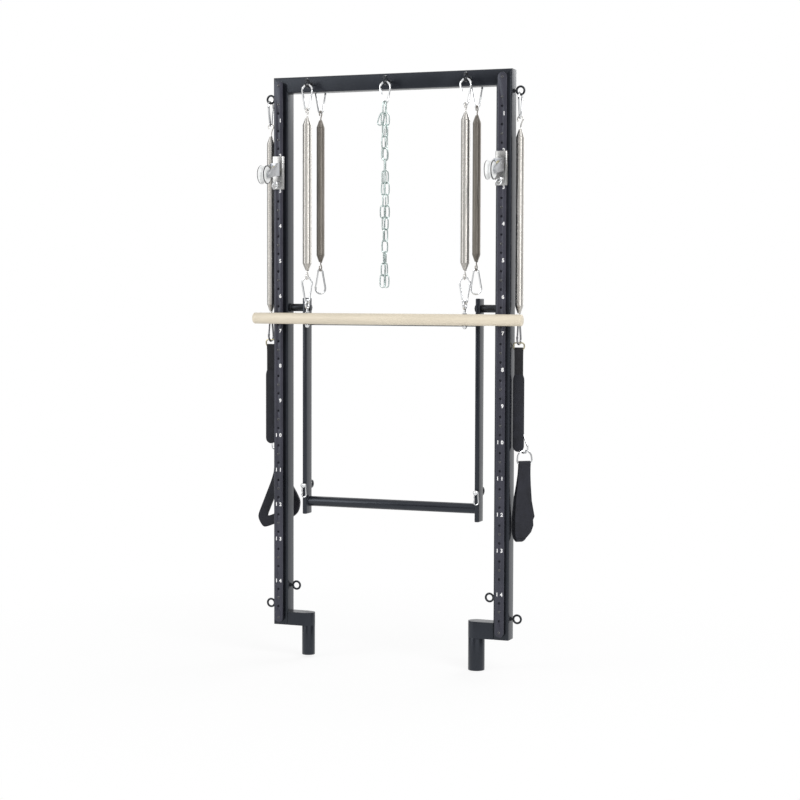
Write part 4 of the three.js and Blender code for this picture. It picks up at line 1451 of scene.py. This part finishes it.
FRONT_LINE = SpringLine(
    "front", Coil(13.2, 27.0, 431.0, 25.0), SPRING_STEEL, LINE_TOP, FIT.line_x, FIT.front_y, wide_foot=True,
)
# The rear springs wear the spring steel darkened with painted shade.
REAR_LINE = SpringLine("rear", Coil(12.0, 27.0, 406.0, 25.0), REAR_STEEL_PAINTED_SHADE, LINE_TOP, FIT.line_x, FIT.rear_y)
# The side lines' lower snap hooks wear the chrome that is darkened with painted shade.
SIDE_LINE = SpringLine(
    "side", Coil(12.0, 36.0, 503.0, 20.0), SPRING_STEEL, SIDE_TOP, FIT.side_x, 0.0, edge_on=True,
    foot_finish=PAINTED_SHADE_CHROME, lower_grip=16.0,
)


@dataclass(frozen=True)
class RollDownBar:
    """The front springs and the wooden bar that hangs on them."""

    bar_z: float = 888.35
    bar_radius: float = 16.0
    length: float = 810.0
    eye_reach: float = 24.3

    def bar(self) -> None:
        """Turns the wooden bar."""
        half, radius = self.length / 2, self.bar_radius
        rim = ((4.0, 0), (1.8, 0.5), (0.5, 1.9), (0, 4))
        profile = [(radius - inset, -half + step) for inset, step in rim]
        profile += [(r, -z) for r, z in reversed(profile)]
        piece = turned("wooden_bar", Axis.X, profile, (0, FIT.front_y, self.bar_z), 64)
        finished(piece, "roll_down", MAPLE, ["roll_down_bar"], 20)

    def eye(self, side: Side) -> None:
        """Bolts one eye through the bar.

        Args:
            side: Its side.
        """
        word, x, y = side.word, side.value * FIT.line_x, FIT.front_y
        top = self.bar_z + self.bar_radius
        eye = eyebolt(f"{word}_bar_eye", Axis.Z, top + FIT.seat, 1, (x, y), self.eye_reach)
        dome = [(7.4, -0.3), (7.4, -3.0), (6.4, -3.6), (6.2, -5.5), (4.8, -8.4), (2.4, -10.0), (0.3, -10.3)]
        cap = turned(f"{word}_bar_cap", Axis.Z, dome, (x, y, self.bar_z - self.bar_radius), 24)
        shank = rod(f"{word}_bar_shank", Axis.Z, 3, self.bar_z - 16.5, self.bar_z + 16.5, (x, y), sides=12)
        finished(joined(f"{word}_bar_bolt", eye, cap, shank), "roll_down", CHROME, [f"{word}_bar_eyebolt"])

    def build(self) -> None:
        """Makes the bar and both lines."""
        self.bar()
        for side in Side:
            FRONT_LINE.hang(side, "roll_down_lines", "roll_down")
            self.eye(side)


@dataclass(frozen=True)
class RearSprings:
    """The rear springs with their snap hooks."""

    line: SpringLine = REAR_LINE

    def build(self) -> None:
        """Hangs both lines."""
        for side in Side:
            self.line.hang(side, f"{side.word}_rear_line", f"{side.word}_rear_hook")


@dataclass(frozen=True)
class SideLines:
    """The side springs with their hand straps and foot loops."""

    ring_top: float = 825.0
    ring_bar: float = 808.2
    web_length: float = 72.0
    web_width: float = 24.0
    pad_length: float = 212.0
    pad_width: float = 32.0
    tab_y: float = 10.85
    tab_z: float = 590.2
    stitch: float = 5.2
    right_lean: float = 15.0
    left_lean: float = 43.0
    ring_turn: float = 0.7
    snap_turn: float = -0.35
    d_ring_width: float = 46.0
    d_ring_height: float = 40.0
    d_ring_gauge: float = 2.3

    def strap(self, side: Side) -> None:
        """Sews the hand strap: ring, webbing tail, padded body and tab.

        Args:
            side: Its side.
        """
        word, x = side.word, side.value * FIT.side_x
        body = f"{word}_strap"
        half_x, top, bar, place = self.web_width / 2 + 2.6, self.ring_top - 0.2, self.ring_bar, shift(x, 0, 0)
        corners = [
            (half_x, top - 3), (half_x - 3, top), (0, top), (-half_x + 3, top), (-half_x, top - 3),
            (-half_x, bar + 3), (-half_x + 3, bar), (0, bar), (half_x - 3, bar), (half_x, bar + 3),
        ]
        ring = wire(f"{word}_ring", [(a, 0, b) for a, b in corners], 2.0, closed=True, steps=4)
        finished(moved(ring, place), body, BRASS, [f"{word}_strap_ring"])

        path = [(-1.7, bar - self.web_length - 6), (-1.7, bar - 20), (-2.4, bar - 8)]
        path += over(3.7, bar) + [(2.4, bar - 8), (1.7, bar - 20), (1.7, bar - self.web_length - 6)]
        tail = ribbon(f"{word}_webbing", path, self.web_width, 2.2, edge=0.5)
        moved(tail, place)
        finished(tail, body, WEBBING)

        pad = self.pad(f"{word}_hand_pad", bar)
        finished(moved(pad, place), body, PADDING, [f"{word}_hand_strap"], 60)
        seams = self.seams(f"{word}_hand_seams", bar)
        finished(moved(seams, place), body, THREAD)
        tab = self.tab(f"{word}_loop_tab")
        finished(moved(tab, shift(x, self.tab_y, self.tab_z)), body, WEBBING)

    def pad(self, name: str, bar: float) -> Piece:
        """The long padded body: a grid drawn to its outline, crowned and thickened.

        Args:
            name: The piece's name.
            bar: The height of the ring's bar.

        Returns:
            The pad.
        """
        top, side = bar - self.web_length + 2, self.pad_width / 2
        bottom = bar - self.web_length - self.pad_length
        bpy.ops.mesh.primitive_cube_add(size=1, location=(0, 0, (top + bottom) / 2))
        piece = scaled(name, 2.0, 7.0, top - bottom)
        with editing(piece, "SELECT"):
            bpy.ops.mesh.subdivide(number_cuts=40)
        middle, reach = (top + bottom) / 2, (top - bottom) / 2
        for point in piece.data.vertices:
            z = point.co.z = middle + reach * math.sin((point.co.z - middle) / reach * math.pi / 2)
            half = side
            if top - z < side:
                web = self.web_width / 2
                half = web + (side - web) * math.sin((top - z) / side * math.pi / 2)
            if z - bottom < side:
                half = min(half, math.sqrt(max(0.0, side ** 2 - (side - (z - bottom)) ** 2)))
            across = point.co.x
            point.co.x = across * max(half, 0.4)
            rim = max(abs(across), 1 - (z - bottom) / side if z - bottom < side else 0.0)
            point.co.y *= 0.42 + 0.58 * math.sqrt(max(0.0, 1 - rim ** 4))
        return piece

    def seams(self, name: str, bar: float) -> Piece:
        """Stitches along both edges of the pad and across the webbing.

        Args:
            name: The piece's name.
            bar: The height of the ring's bar.

        Returns:
            The stitches as one piece.
        """
        top, bottom = bar - self.web_length - 14, bar - self.web_length - self.pad_length + 16
        count = int((top - bottom) / self.stitch)
        places = [shift(dx, -2.75, bottom + n * self.stitch) for n in range(count) for dx in (-12.6, 12.6)]
        for row in (bar - self.web_length - 4, bar - self.web_length + 6, bar - 14):
            places += [shift(-10.6 + n * 4.5, -2.95, row) @ Axis.X.turn() for n in range(5)]
        stitch = turned("stitch", Axis.Z, [(0.2, 0), (0.45, 0.5), (0.45, 2.9), (0.2, 3.4)], sides=6)
        return strewn(name, stitch, places)

    def tab(self, name: str) -> Piece:
        """The loop of narrow webbing behind the pad.

        Args:
            name: The piece's name.

        Returns:
            The loop, at the origin.
        """
        ring = [(6.2 * math.cos(t), 6.2 * math.sin(t)) for t in [2 * math.pi * i / 24 for i in range(24)]]
        return ribbon(name, ring + [(ring[0][0], 0.01)], 3.4, 1.9, rows=3, edge=0.4)

    def loop(self, side: Side) -> None:
        """Hangs the foot loop with its snap hook and D-ring.

        Args:
            side: Its side.
        """
        word = side.word
        body = f"{word}_loop"
        start = Vector((side.value * FIT.side_x, self.tab_y, self.tab_z))
        if side is Side.RIGHT:
            lean = Matrix.Rotation(-math.asin(self.right_lean / SNAP_REACH), 4, "Y")
        else:
            lean = Matrix.Rotation(math.asin(self.left_lean / SNAP_REACH), 4, "X")
        hang = lean @ Matrix.Rotation(self.snap_turn, 4, "Z")
        snap = SNAP.made(f"{word}_loop_hook", Matrix.Translation(start) @ hang, False)
        finished(snap, body, CHROME, [f"{word}_loop_snap"])

        end = start + lean @ Vector((0, 0, -SNAP_REACH))
        bow = end.z + 2.75 + 2.2 + 1.5
        turn = Matrix.Rotation(self.ring_turn, 4, "Z")
        half = self.d_ring_width / 2 - self.d_ring_gauge
        drop = self.d_ring_height - 2 * self.d_ring_gauge
        bar = bow - drop
        line = arc((0, -half), half, 0, math.pi, 16)
        line += [(-half, 0, -drop + 4), (-half + 3, 0, -drop), (0, 0, -drop)]
        line += [(half - 3, 0, -drop), (half, 0, -drop + 4)]
        ring = wire(f"{word}_ring_of_loop", line, self.d_ring_gauge, closed=True, steps=3)
        moved(ring, shift(end.x, end.y, bow) @ turn)
        finished(ring, body, CHROME, [f"{word}_d_ring"])
        if side is Side.RIGHT:
            band = self.hanging_band(f"{word}_foot_band")
        else:
            band = self.spread_band(f"{word}_foot_band")
        place = shift(end.x, end.y, bar)
        moved(band, place @ turn if side is Side.RIGHT else place)
        finished(band, body, PADDING, [f"{word}_foot_loop"], 60)
        if side is Side.LEFT:
            fold = ribbon(f"{word}_fold", self.fold_path(26), 24, 2.2, edge=0.5)
            finished(moved(fold, place @ turn), body, WEBBING)

    def fold_path(self, tail: float) -> list[tuple[float, float]]:
        """The path of webbing folded over the D-ring's bar.

        Args:
            tail: How far it hangs below the bar.

        Returns:
            Pairs of Y and Z.
        """
        return [(-1.6, -tail), (-2.4, -7), *over(3.9), (2.4, -7), (1.6, -tail)]

    def hanging_band(self, name: str) -> Piece:
        """The right foot loop: one padded band that hangs closed from the D-ring's bar.

        Args:
            name: The piece's name.

        Returns:
            The band, with the bar at the origin.
        """
        left = [
            (0, -17), (50, -21), (100, -28.5), (150, -31.8), (188, -32), (204, -30), (215, -25), (224, -15),
        ]
        near = [
            (0, 16.5), (60, 16.5), (120, 19), (165, 22), (182, 22.5), (192, 14), (204, 3.5), (216, -7),
            (224, -12),
        ]
        far = [(0, 16.5), (60, 18), (98, 24), (138, 33), (154, 36.5), (164, 28), *near[4:]]

        def at(table: Outline, depth: float) -> float:
            """Reads an edge at a depth below the bar."""
            for (d0, x0), (d1, x1) in zip(table, table[1:]):
                if depth <= d1:
                    return x0 + (x1 - x0) * max(0.0, depth - d0) / (d1 - d0)
            return table[-1][1]

        def span(y: float, z: float) -> tuple[float, float]:
            """The edges of the near or the far layer at a height."""
            return at(left, -z), at(near if y < 0 else far, -z)

        near_side = [
            (-2.6, -16), (-2.6, -32), (-5.5, -60), (-8.5, -95), (-10.5, -125), (-12, -150), (-12.4, -172),
            (-12.4, -190), (-12.3, -200), (-11.9, -207.4),
        ]
        turns = [math.pi * (1 - i / 10) for i in range(1, 10)]
        under = [(12 * math.cos(t), -205 - 11 * math.sin(t)) for t in turns]
        path = near_side[::-1] + [(-3.2, -7)] + over(4.6) + [(3.2, -7)]
        path += [(-y, z) for y, z in near_side] + under[::-1]
        return ribbon(name, path, 35, 4.2, span, rows=14, edge=1.0)

    def spread_band(self, name: str) -> Piece:
        """The left foot loop: a padded band that has opened into a triangle, face on.

        Args:
            name: The piece's name.

        Returns:
            The band, with the bar at the origin.
        """
        outer = [
            (12, -4), (-12, -4), (-15, -68), (-24, -96), (-65, -194), (-66, -206), (-59, -221), (-49, -233),
            (-38, -232), (46, -199), (59, -188), (66, -172), (68, -150), (54, -124), (16, -64),
        ]
        inner = [(4, -98), (32, -150), (27, -172), (-15, -193), (-40, -202)]
        band = cut(prism(name, eased(outer), -5, 5), prism("inner", eased(inner), -20, 20))
        return softened(band, 2.6, 3, 25)

    def build(self) -> None:
        """Makes both side lines."""
        for side in Side:
            SIDE_LINE.hang(side, f"{side.word}_side_line", f"{side.word}_strap")
            self.strap(side)
            self.loop(side)


def eased(outline: Outline, reach: float = 5.0, rounds: int = 2) -> list[tuple[float, float]]:
    """Cuts an outline's corners into a smooth bend.

    Args:
        outline: Pairs of coordinates round the shape.
        reach: How far from a corner it is cut at most.
        rounds: How often every corner is cut.

    Returns:
        The finer outline.
    """
    for _ in range(rounds):
        finer = []
        for (x0, z0), (x1, z1) in zip(outline, [*outline[1:], outline[0]]):
            share = min(0.25, reach / math.hypot(x1 - x0, z1 - z0))
            finer += [((1 - t) * x0 + t * x1, (1 - t) * z0 + t * z1) for t in (share, 1 - share)]
        outline = finer
    return list(outline)


def prism(name: str, outline: Outline, front: float, back: float) -> Piece:
    """A plate with an outline in the plane of X and Z.

    Args:
        name: The piece's name.
        outline: Pairs of X and Z.
        front: The Y of its front.
        back: The Y of its back.

    Returns:
        The plate.
    """
    bpy.ops.mesh.primitive_circle_add(
        vertices=len(outline), radius=1, fill_type="NGON", location=(0, 0, 0),
    )
    piece = named(name)
    for point, (x, z) in zip(piece.data.vertices, outline):
        point.co = (x, front, z)
    with editing(piece, "SELECT"):
        extrude(0, back - front, 0)
    return outward(piece)


@dataclass(frozen=True)
class Chain:
    """The doubled chain on its snap hook."""

    gauge: float = 1.9
    length: float = 39.2
    width: float = 18.2
    pitch: float = 32.1
    first: float = 1494.05
    drop: float = 513.0
    spread: float = 5.6
    twist: float = 0.42
    sway: float = 0.3

    def link(self) -> Piece:
        """One link, hung from its top wire at the origin."""
        bend = self.width / 2 - self.gauge
        reach = self.length - 2 * self.gauge
        line = arc((0, -bend), bend, 0, math.pi, 6) + arc((0, -reach + bend), bend, math.pi, 2 * math.pi, 6)
        return wire("link", line, self.gauge, closed=True, steps=2, rounds=2)

    def build(self) -> None:
        """Hangs the snap hook and both strands."""
        at = shift(0, FIT.front_y, LINE_TOP)
        finished(CHAIN_SNAP.made("chain_hook", at), "chain", CHROME, ["chain_snap"])
        places = []
        for side in Side:
            for n in range(round(self.drop / self.pitch)):
                apart = side.value * (self.gauge + (self.spread - self.gauge) * min(1.0, n / 2))
                x, y = apart * math.cos(self.twist * n), FIT.front_y + apart * math.sin(self.twist * n)
                crossed = 0.0 if n % 2 else math.pi / 2
                turn = crossed + self.twist * n + self.sway * math.sin(2.3 * n + side.value)
                places.append(shift(x, y, self.first - n * self.pitch) @ Matrix.Rotation(turn, 4, "Z"))
        loose = shift(-self.spread, FIT.front_y, self.first - self.pitch) @ Matrix.Rotation(0.35, 4, "Y")
        links = strewn("chain_links", self.link(), [*places, loose])
        finished(links, "chain", ZINC, ["chain"], 60)


@dataclass(frozen=True)
class Pulleys:
    """The sliding carriages with their forks, wheels and pull pins."""

    stud_z: float = 1312.0
    pin_z: float = 1272.0
    carriage_z: float = 1303.0
    out_y: float = -43.45
    wheel_y: float = -129.25
    wheel_z: float = 1293.0
    skin: float = 1.5
    half_channel: float = 17.0
    channel_height: float = 94.0
    lip: float = 6.0
    cheek_in: float = 10.8
    cheek_out: float = 13.8
    rim_x: float = 9.1

    def carriage(self, side: Side) -> None:
        """Bends the channel that wraps the strip, with its two sleeves.

        Args:
            side: Its side.
        """
        x = side.value * FIT.upright_x
        half, front = self.half_channel - self.skin, self.out_y + self.skin
        bpy.ops.mesh.primitive_plane_add(
            size=1, location=(x, front, self.carriage_z), rotation=(math.pi / 2, 0, 0),
        )
        sheet = scaled(f"{side.word}_channel", 2 * half, self.channel_height, 1)
        back = FIT.strip_front + 5 + FIT.seat + self.skin
        for sign in (-1, 1):
            mark(
                sheet, "EDGE", lambda way, middle, sign=sign: abs(way.z) > 0.9
                and sign * (middle.x - x) > half - 1 and middle.y < self.out_y + 2,
            )
            with editing(sheet):
                extrude(0, back - self.out_y - self.skin, 0)
                extrude(-sign * self.lip, 0, 0)
        mark(sheet, "EDGE", lambda way, middle: abs(way.z) > 0.9 and abs(middle.x - x) > half - 0.5)
        with editing(sheet):
            bpy.ops.mesh.bevel(offset=2.2, segments=3, affect="EDGES")
        shaped(sheet, "SOLIDIFY", thickness=2.8, offset=0, use_even_offset=True)
        softened(outward(sheet), 0.5, 2, 50)
        wide, slim = [(9.5, 0), (9.5, 1.5), (8, 2.2), (8, 6)], [(7.6, 0), (7.6, 1.4), (6.5, 2), (6.5, 8)]
        stud = turned("sleeve", Axis.FRONT, wide, (x, self.out_y, self.stud_z))
        pin = turned("pin_sleeve", Axis.FRONT, slim, (x, self.out_y, self.pin_z))
        piece = joined(f"{side.word}_carriage_channel", sheet, stud, pin)
        finished(piece, f"{side.word}_carriage", CARRIAGE_STEEL, [f"{side.word}_pulley_carriage"])

    def pull(self, side: Side) -> None:
        """Turns the pull knob with its ring.

        Args:
            side: Its side.
        """
        x = side.value * FIT.upright_x
        mouth = self.out_y - 8.3
        profile = [
            (5.6, 0), (6.5, 0.8), (6.5, 2.2), (4.0, 3.6), (3.6, 5.2), (5.4, 7.2), (5.6, 8.2), (4.6, 9.0),
        ]
        knob = turned("knob", Axis.FRONT, profile, (x, mouth, self.pin_z))
        shank = rod("pin", Axis.Y, 3.2, mouth - 0.5, -39.2, (x, self.pin_z), 0.4)
        diamond = [
            (1.4, 7.4), (-1.4, 7.4), (-8.2, 1.2), (-8.2, -1.2), (-1.4, -8.6), (1.4, -8.6), (8.2, -1.2),
            (8.2, 1.2),
        ]
        ring = wire("pull_ring", [(dx, 0, dz) for dx, dz in diamond], 1.4, closed=True, steps=3)
        moved(ring, shift(x, mouth - 9.0, self.pin_z - 6.6))
        piece = joined(f"{side.word}_pull_pin", knob, shank, ring)
        finished(piece, f"{side.word}_pin", CHROME, [f"{side.word}_pull_knob"])

    def fork(self, side: Side) -> None:
        """Shapes the fork: two tapered cheeks on a plate, the stud, its nut and the axle.

        Args:
            side: Its side.
        """
        x, word = side.value * FIT.upright_x, side.word
        back = self.out_y - 13.3
        cheeks = []
        for sign in (-1, 1):
            inside, outside = sorted((x + sign * self.cheek_in, x + sign * self.cheek_out))
            tip = rod("tip", Axis.X, 9, inside, outside, (self.wheel_y, self.wheel_z), sides=40)
            root = block("root", (3, 3, 36), ((inside + outside) / 2, back - 1.5, self.stud_z), 0.1, 1)
            cheeks.append(softened(hull(joined("cheek", tip, root)), 0.5, 2, 50))
        plate = block("plate", (27.6, 3, 36), (x, back - 1.5, self.stud_z), 0.8, 2)
        stud = rod("stud", Axis.Y, 4, back, -40.6, (x, self.stud_z), 0.4)
        axle = rod("axle", Axis.X, 4, x - 16.8, x + 16.8, (self.wheel_y, self.wheel_z), 0.4)
        profile = [(7, 0), (7, 1.8), (5.6, 2.8), (0.8, 3.0)]
        caps = [turned("cap", Axis.X, profile, sides=sides) for sides in (28, 6)]
        half_turn = Matrix.Rotation(math.pi, 4, "Z")
        moved(caps[0], shift(x - self.cheek_out, self.wheel_y, self.wheel_z) @ half_turn)
        moved(caps[1], shift(x + self.cheek_out, self.wheel_y, self.wheel_z))
        piece = joined(f"{word}_fork_plates", plate, *cheeks, stud, axle, *caps)
        finished(piece, f"{word}_fork", FORK_STEEL, [f"{word}_pulley_fork"])
        nut = joined(
            f"{word}_stud_nut",
            rod("hexagon", Axis.Y, 9.8, back + 0.2, back + 7, (x, self.stud_z), 0.8, 6),
            rod("washer", Axis.Y, 10.5, back - 4.4, back - 3.1, (x, self.stud_z), 0.3, 32),
            rod("front_nut", Axis.Y, 7.4, back - 9.4, back - 4.5, (x, self.stud_z), 0.8, 6),
        )
        finished(nut, f"{word}_fork", BRASS)

    def wheel(self, side: Side) -> None:
        """Turns the wheel with its steel rims.

        Args:
            side: Its side.
        """
        x, word = side.value * FIT.upright_x, side.word
        near_half = [
            (4.4, -10.0), (8.0, -10.0), (8.0, -8.4), (21.0, -8.4), (22.0, -9.8), (25.2, -10.0), (26.0, -9.2),
            (26.0, -6.2), (19.0, -2.6), (18.0, -1.0),
        ]
        profile = near_half + [(r, -z) for r, z in reversed(near_half)]
        piece = turned(f"{word}_sheave", Axis.X, profile, (x, self.wheel_y, self.wheel_z), 56)
        finished(piece, f"{word}_wheel", NYLON, [f"{word}_pulley_wheel"])
        rims = [
            torus("rim", Axis.X, 24.7, 1.6, (x + dx, self.wheel_y, self.wheel_z), 64)
            for dx in (-self.rim_x, self.rim_x)
        ]
        finished(joined(f"{word}_sheave_rims", *rims), f"{word}_wheel", RIM_STEEL)

    def build(self) -> None:
        """Makes both pulleys."""
        for side in Side:
            self.carriage(side)
            self.pull(side)
            self.fork(side)
            self.wheel(side)


@dataclass(frozen=True)
class PushThroughBar:
    """The swinging frame of two flat arms and two round crossbars."""

    body: str = "push_through"
    bottom: float = 325.0
    length: float = 622.0
    thick: float = 12.7
    depth: float = 38.0
    outer_x: float = 269.0

    def arm(self, side: Side) -> None:
        """Makes one arm with its eyebolt and link.

        Args:
            side: Its side.
        """
        sign, word = side.value, side.word
        x = sign * (self.outer_x - self.thick / 2)
        size, centre = (self.thick, self.depth, self.length), (x, 0, self.bottom + self.length / 2)
        arm = block("arm", size, centre, 2.6, 3)
        finished(joined(f"{word}_arm_bar", arm), self.body, BLACK_PAINT, [f"{word}_bar_arm"])
        eye_z, face = self.bottom + 83, self.depth / 2
        eye = joined(
            f"{word}_arm_eye",
            torus("eye", Axis.X, 9, 3, (x, face + 12.3, eye_z)),
            rod("neck", Axis.Y, 3.2, face - 0.5, face + 4, (x, eye_z)),
            rod("collar", Axis.Y, 6, face, face + 2.2, (x, eye_z), 0.6),
        )
        finished(eye, self.body, BLACK_STEEL)
        dome = [(6.5, 0), (6.5, 4.2), (5.6, 5.4), (3.2, 6.8), (0.5, 7.4)]
        nut = turned("nut", Axis.FRONT, dome, (x, -face - 7.2, eye_z), 20)
        shank = rod("shank", Axis.Y, 3, -face - 8, -face, (x, eye_z), 0.2)
        finished(joined(f"{word}_arm_nut", nut, shank), self.body, CHROME)
        link = ARM_LINK.made(f"{word}_arm_quick_link", shift(x, -face - 3.5, eye_z + 5.0), False)
        finished(link, f"{word}_link", CHROME, [f"{word}_arm_link"])

    def crossbar(self, name: str, node: str, z: float) -> None:
        """Makes one crossbar with its weld beads.

        Args:
            name: The piece's name.
            node: The node it stands for.
            z: Its height.
        """
        half = self.outer_x - self.thick - 0.3
        bar = tube("bar", Axis.X, 14.3, 2.0, -half, half, (0, z))
        beads = [torus("bead", Axis.X, 14.6, 1.5, (dx * (half - 0.9), 0, z), 48) for dx in (-1, 1)]
        finished(joined(name, bar, *beads), self.body, BLACK_PAINT, [node])

    def build(self) -> None:
        """Makes the whole swinging frame."""
        for side in Side:
            self.arm(side)
        self.crossbar("upper_bar", "upper_crossbar", self.bottom + self.length - 64)
        self.crossbar("lower_bar", "lower_crossbar", self.bottom + 36.5)


@dataclass(frozen=True)
class Studio:
    """The floor, the lights and the camera."""

    floor_z: float = -92.0
    shade_share: float = 0.16
    shade_radius: tuple[float, float] = (0.5, 1.6)
    yaw: float = 21.734
    pitch: float = 3.181
    roll: float = 0.180
    camera_place: Place = (2.0587, -5.10111, 0.9648)
    lens: float = 87.555
    aim: Place = (0, 0, 0.8)

    def floor(self) -> None:
        """Lays the pale floor, which keeps the shadow near the tower and fades to white away from it."""
        bpy.ops.mesh.primitive_plane_add(size=60, location=(0, 0, self.floor_z * METRES - 0.0005))
        plane = settle(named("floor"))
        graph = Graph("Pale floor")
        matt = {"Base Color": (0.95, 0.95, 0.95, 1), "Roughness": 0.9, "Specular IOR Level": 0.0}
        preset(graph.shader, matt)
        glow = graph.add("ShaderNodeEmission")
        away = graph.add("ShaderNodeVectorMath", operation="LENGTH")
        graph.link(graph.place, away.inputs[0])
        near, far = self.shade_radius
        limits = {"From Min": near, "From Max": far, "To Min": 1 - self.shade_share}
        fade = graph.add("ShaderNodeMapRange", limits)
        graph.link(away.outputs["Value"], fade.inputs["Value"])
        path = graph.add("ShaderNodeLightPath").outputs
        seen = graph.result("MAXIMUM", path["Is Camera Ray"], path["Is Glossy Ray"])
        mix = graph.add("ShaderNodeMixShader")
        graph.link(graph.result("MULTIPLY", seen, fade.outputs["Result"]), mix.inputs["Fac"])
        graph.link(graph.shader.outputs["BSDF"], mix.inputs[1])
        graph.link(glow.outputs["Emission"], mix.inputs[2])
        output = next(n for n in graph.tree.nodes if n.type == "OUTPUT_MATERIAL")
        graph.link(mix.outputs["Shader"], output.inputs["Surface"])
        plane.data.materials.append(graph.material)

    def flag(self, name: str, place: Place, size: tuple[float, float], turn: float) -> None:
        """Stands a dark card that only shows in reflections, to give plated metal its dark streaks.

        Args:
            name: The card's name.
            place: Its middle, in metres.
            size: Its width and height.
            turn: Its turn about Z, in radians.
        """
        bpy.ops.mesh.primitive_plane_add(size=1, location=place, rotation=(math.pi / 2, 0, turn))
        card = scaled(name, *size, 1)
        graph = Graph("Dark card")
        preset(graph.shader, {"Base Color": (0.03, 0.03, 0.035, 1), "Roughness": 0.9})
        card.data.materials.append(graph.material)
        for ray in ("camera", "diffuse", "shadow", "transmission", "volume_scatter"):
            setattr(card, f"visible_{ray}", False)

    def sky(self) -> None:
        """Sets the white surroundings, dimmer as a light than as a sight."""
        world = bpy.data.worlds.new("Studio")
        bpy.context.scene.world = world
        world.use_nodes = True
        nodes = Nodes(world.node_tree)
        back = nodes.tree.nodes["Background"]
        preset(back, {"Color": (1, 1, 1, 1)})
        path = nodes.add("ShaderNodeLightPath").outputs
        seen = nodes.result("MAXIMUM", path["Is Camera Ray"], path["Is Glossy Ray"])
        seen = nodes.result("MAXIMUM", path["Is Transmission Ray"], seen)
        nodes.link(nodes.spread(seen, 0.55, 1.0), back.inputs["Strength"])

    def lamp(self, name: str, place: Place, size: float, power: float) -> None:
        """Hangs a soft box that points at the tower's middle.

        Args:
            name: The lamp's name.
            place: Its place, in metres.
            size: Its side.
            power: Its power in watts.
        """
        bpy.ops.object.light_add(type="AREA", location=place)
        lamp = bpy.context.object
        lamp.name = name
        lamp.data.shape = "SQUARE"
        lamp.data.size = size
        lamp.data.energy = power
        lamp.rotation_euler = (Vector(self.aim) - Vector(place)).to_track_quat("-Z", "Y").to_euler()

    def camera(self) -> None:
        """Sets the camera where the photograph was taken from."""
        yaw, pitch, roll = (math.radians(a) for a in (self.yaw, self.pitch, self.roll))
        ahead = Vector((-math.sin(yaw) * math.cos(pitch), math.cos(yaw) * math.cos(pitch), -math.sin(pitch)))
        right = Vector((math.cos(yaw), math.sin(yaw), 0))
        up = right.cross(ahead)
        rolled_right = right * math.cos(roll) + up * math.sin(roll)
        rolled_up = up * math.cos(roll) - right * math.sin(roll)
        bpy.ops.object.camera_add()
        camera = bpy.context.object
        basis = Matrix((rolled_right, rolled_up, -ahead)).transposed().to_4x4()
        camera.matrix_world = Matrix.Translation(self.camera_place) @ basis
        camera.data.sensor_width = 36.0
        camera.data.lens = self.lens
        camera.data.clip_end = 100
        bpy.context.scene.camera = camera

    def build(self) -> None:
        """Sets up the whole studio."""
        bpy.context.scene.view_settings.view_transform = "Standard"
        self.floor()
        self.sky()
        self.lamp("key", (3.2, -2.6, 3.4), 2.4, 110)
        self.lamp("fill", (-3.4, -3.6, 2.2), 2.6, 60)
        self.lamp("back", (0.6, 3.4, 3.0), 2.4, 50)
        self.flag("front_card", (-2.1, -7.0, 1.6), (5.2, 5.0), 0.0)
        self.flag("right_card", (6.0, -0.6, 1.6), (5.6, 5.0), math.pi / 2)
        self.flag("left_card", (-6.0, 1.0, 1.6), (5.2, 5.0), math.pi / 2)
        self.camera()


def main() -> None:
    """Builds the studio and every sub-assembly in order."""
    logging.basicConfig(level=logging.INFO, format="%(message)s")
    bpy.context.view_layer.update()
    Studio().build()
    for part in (ArchFrame, ScaleStrips, RollDownBar, RearSprings, SideLines, Chain, Pulleys, PushThroughBar):
        LOG.info("building %s", part.__name__)
        part().build()


if __name__ == "__main__":
    main()
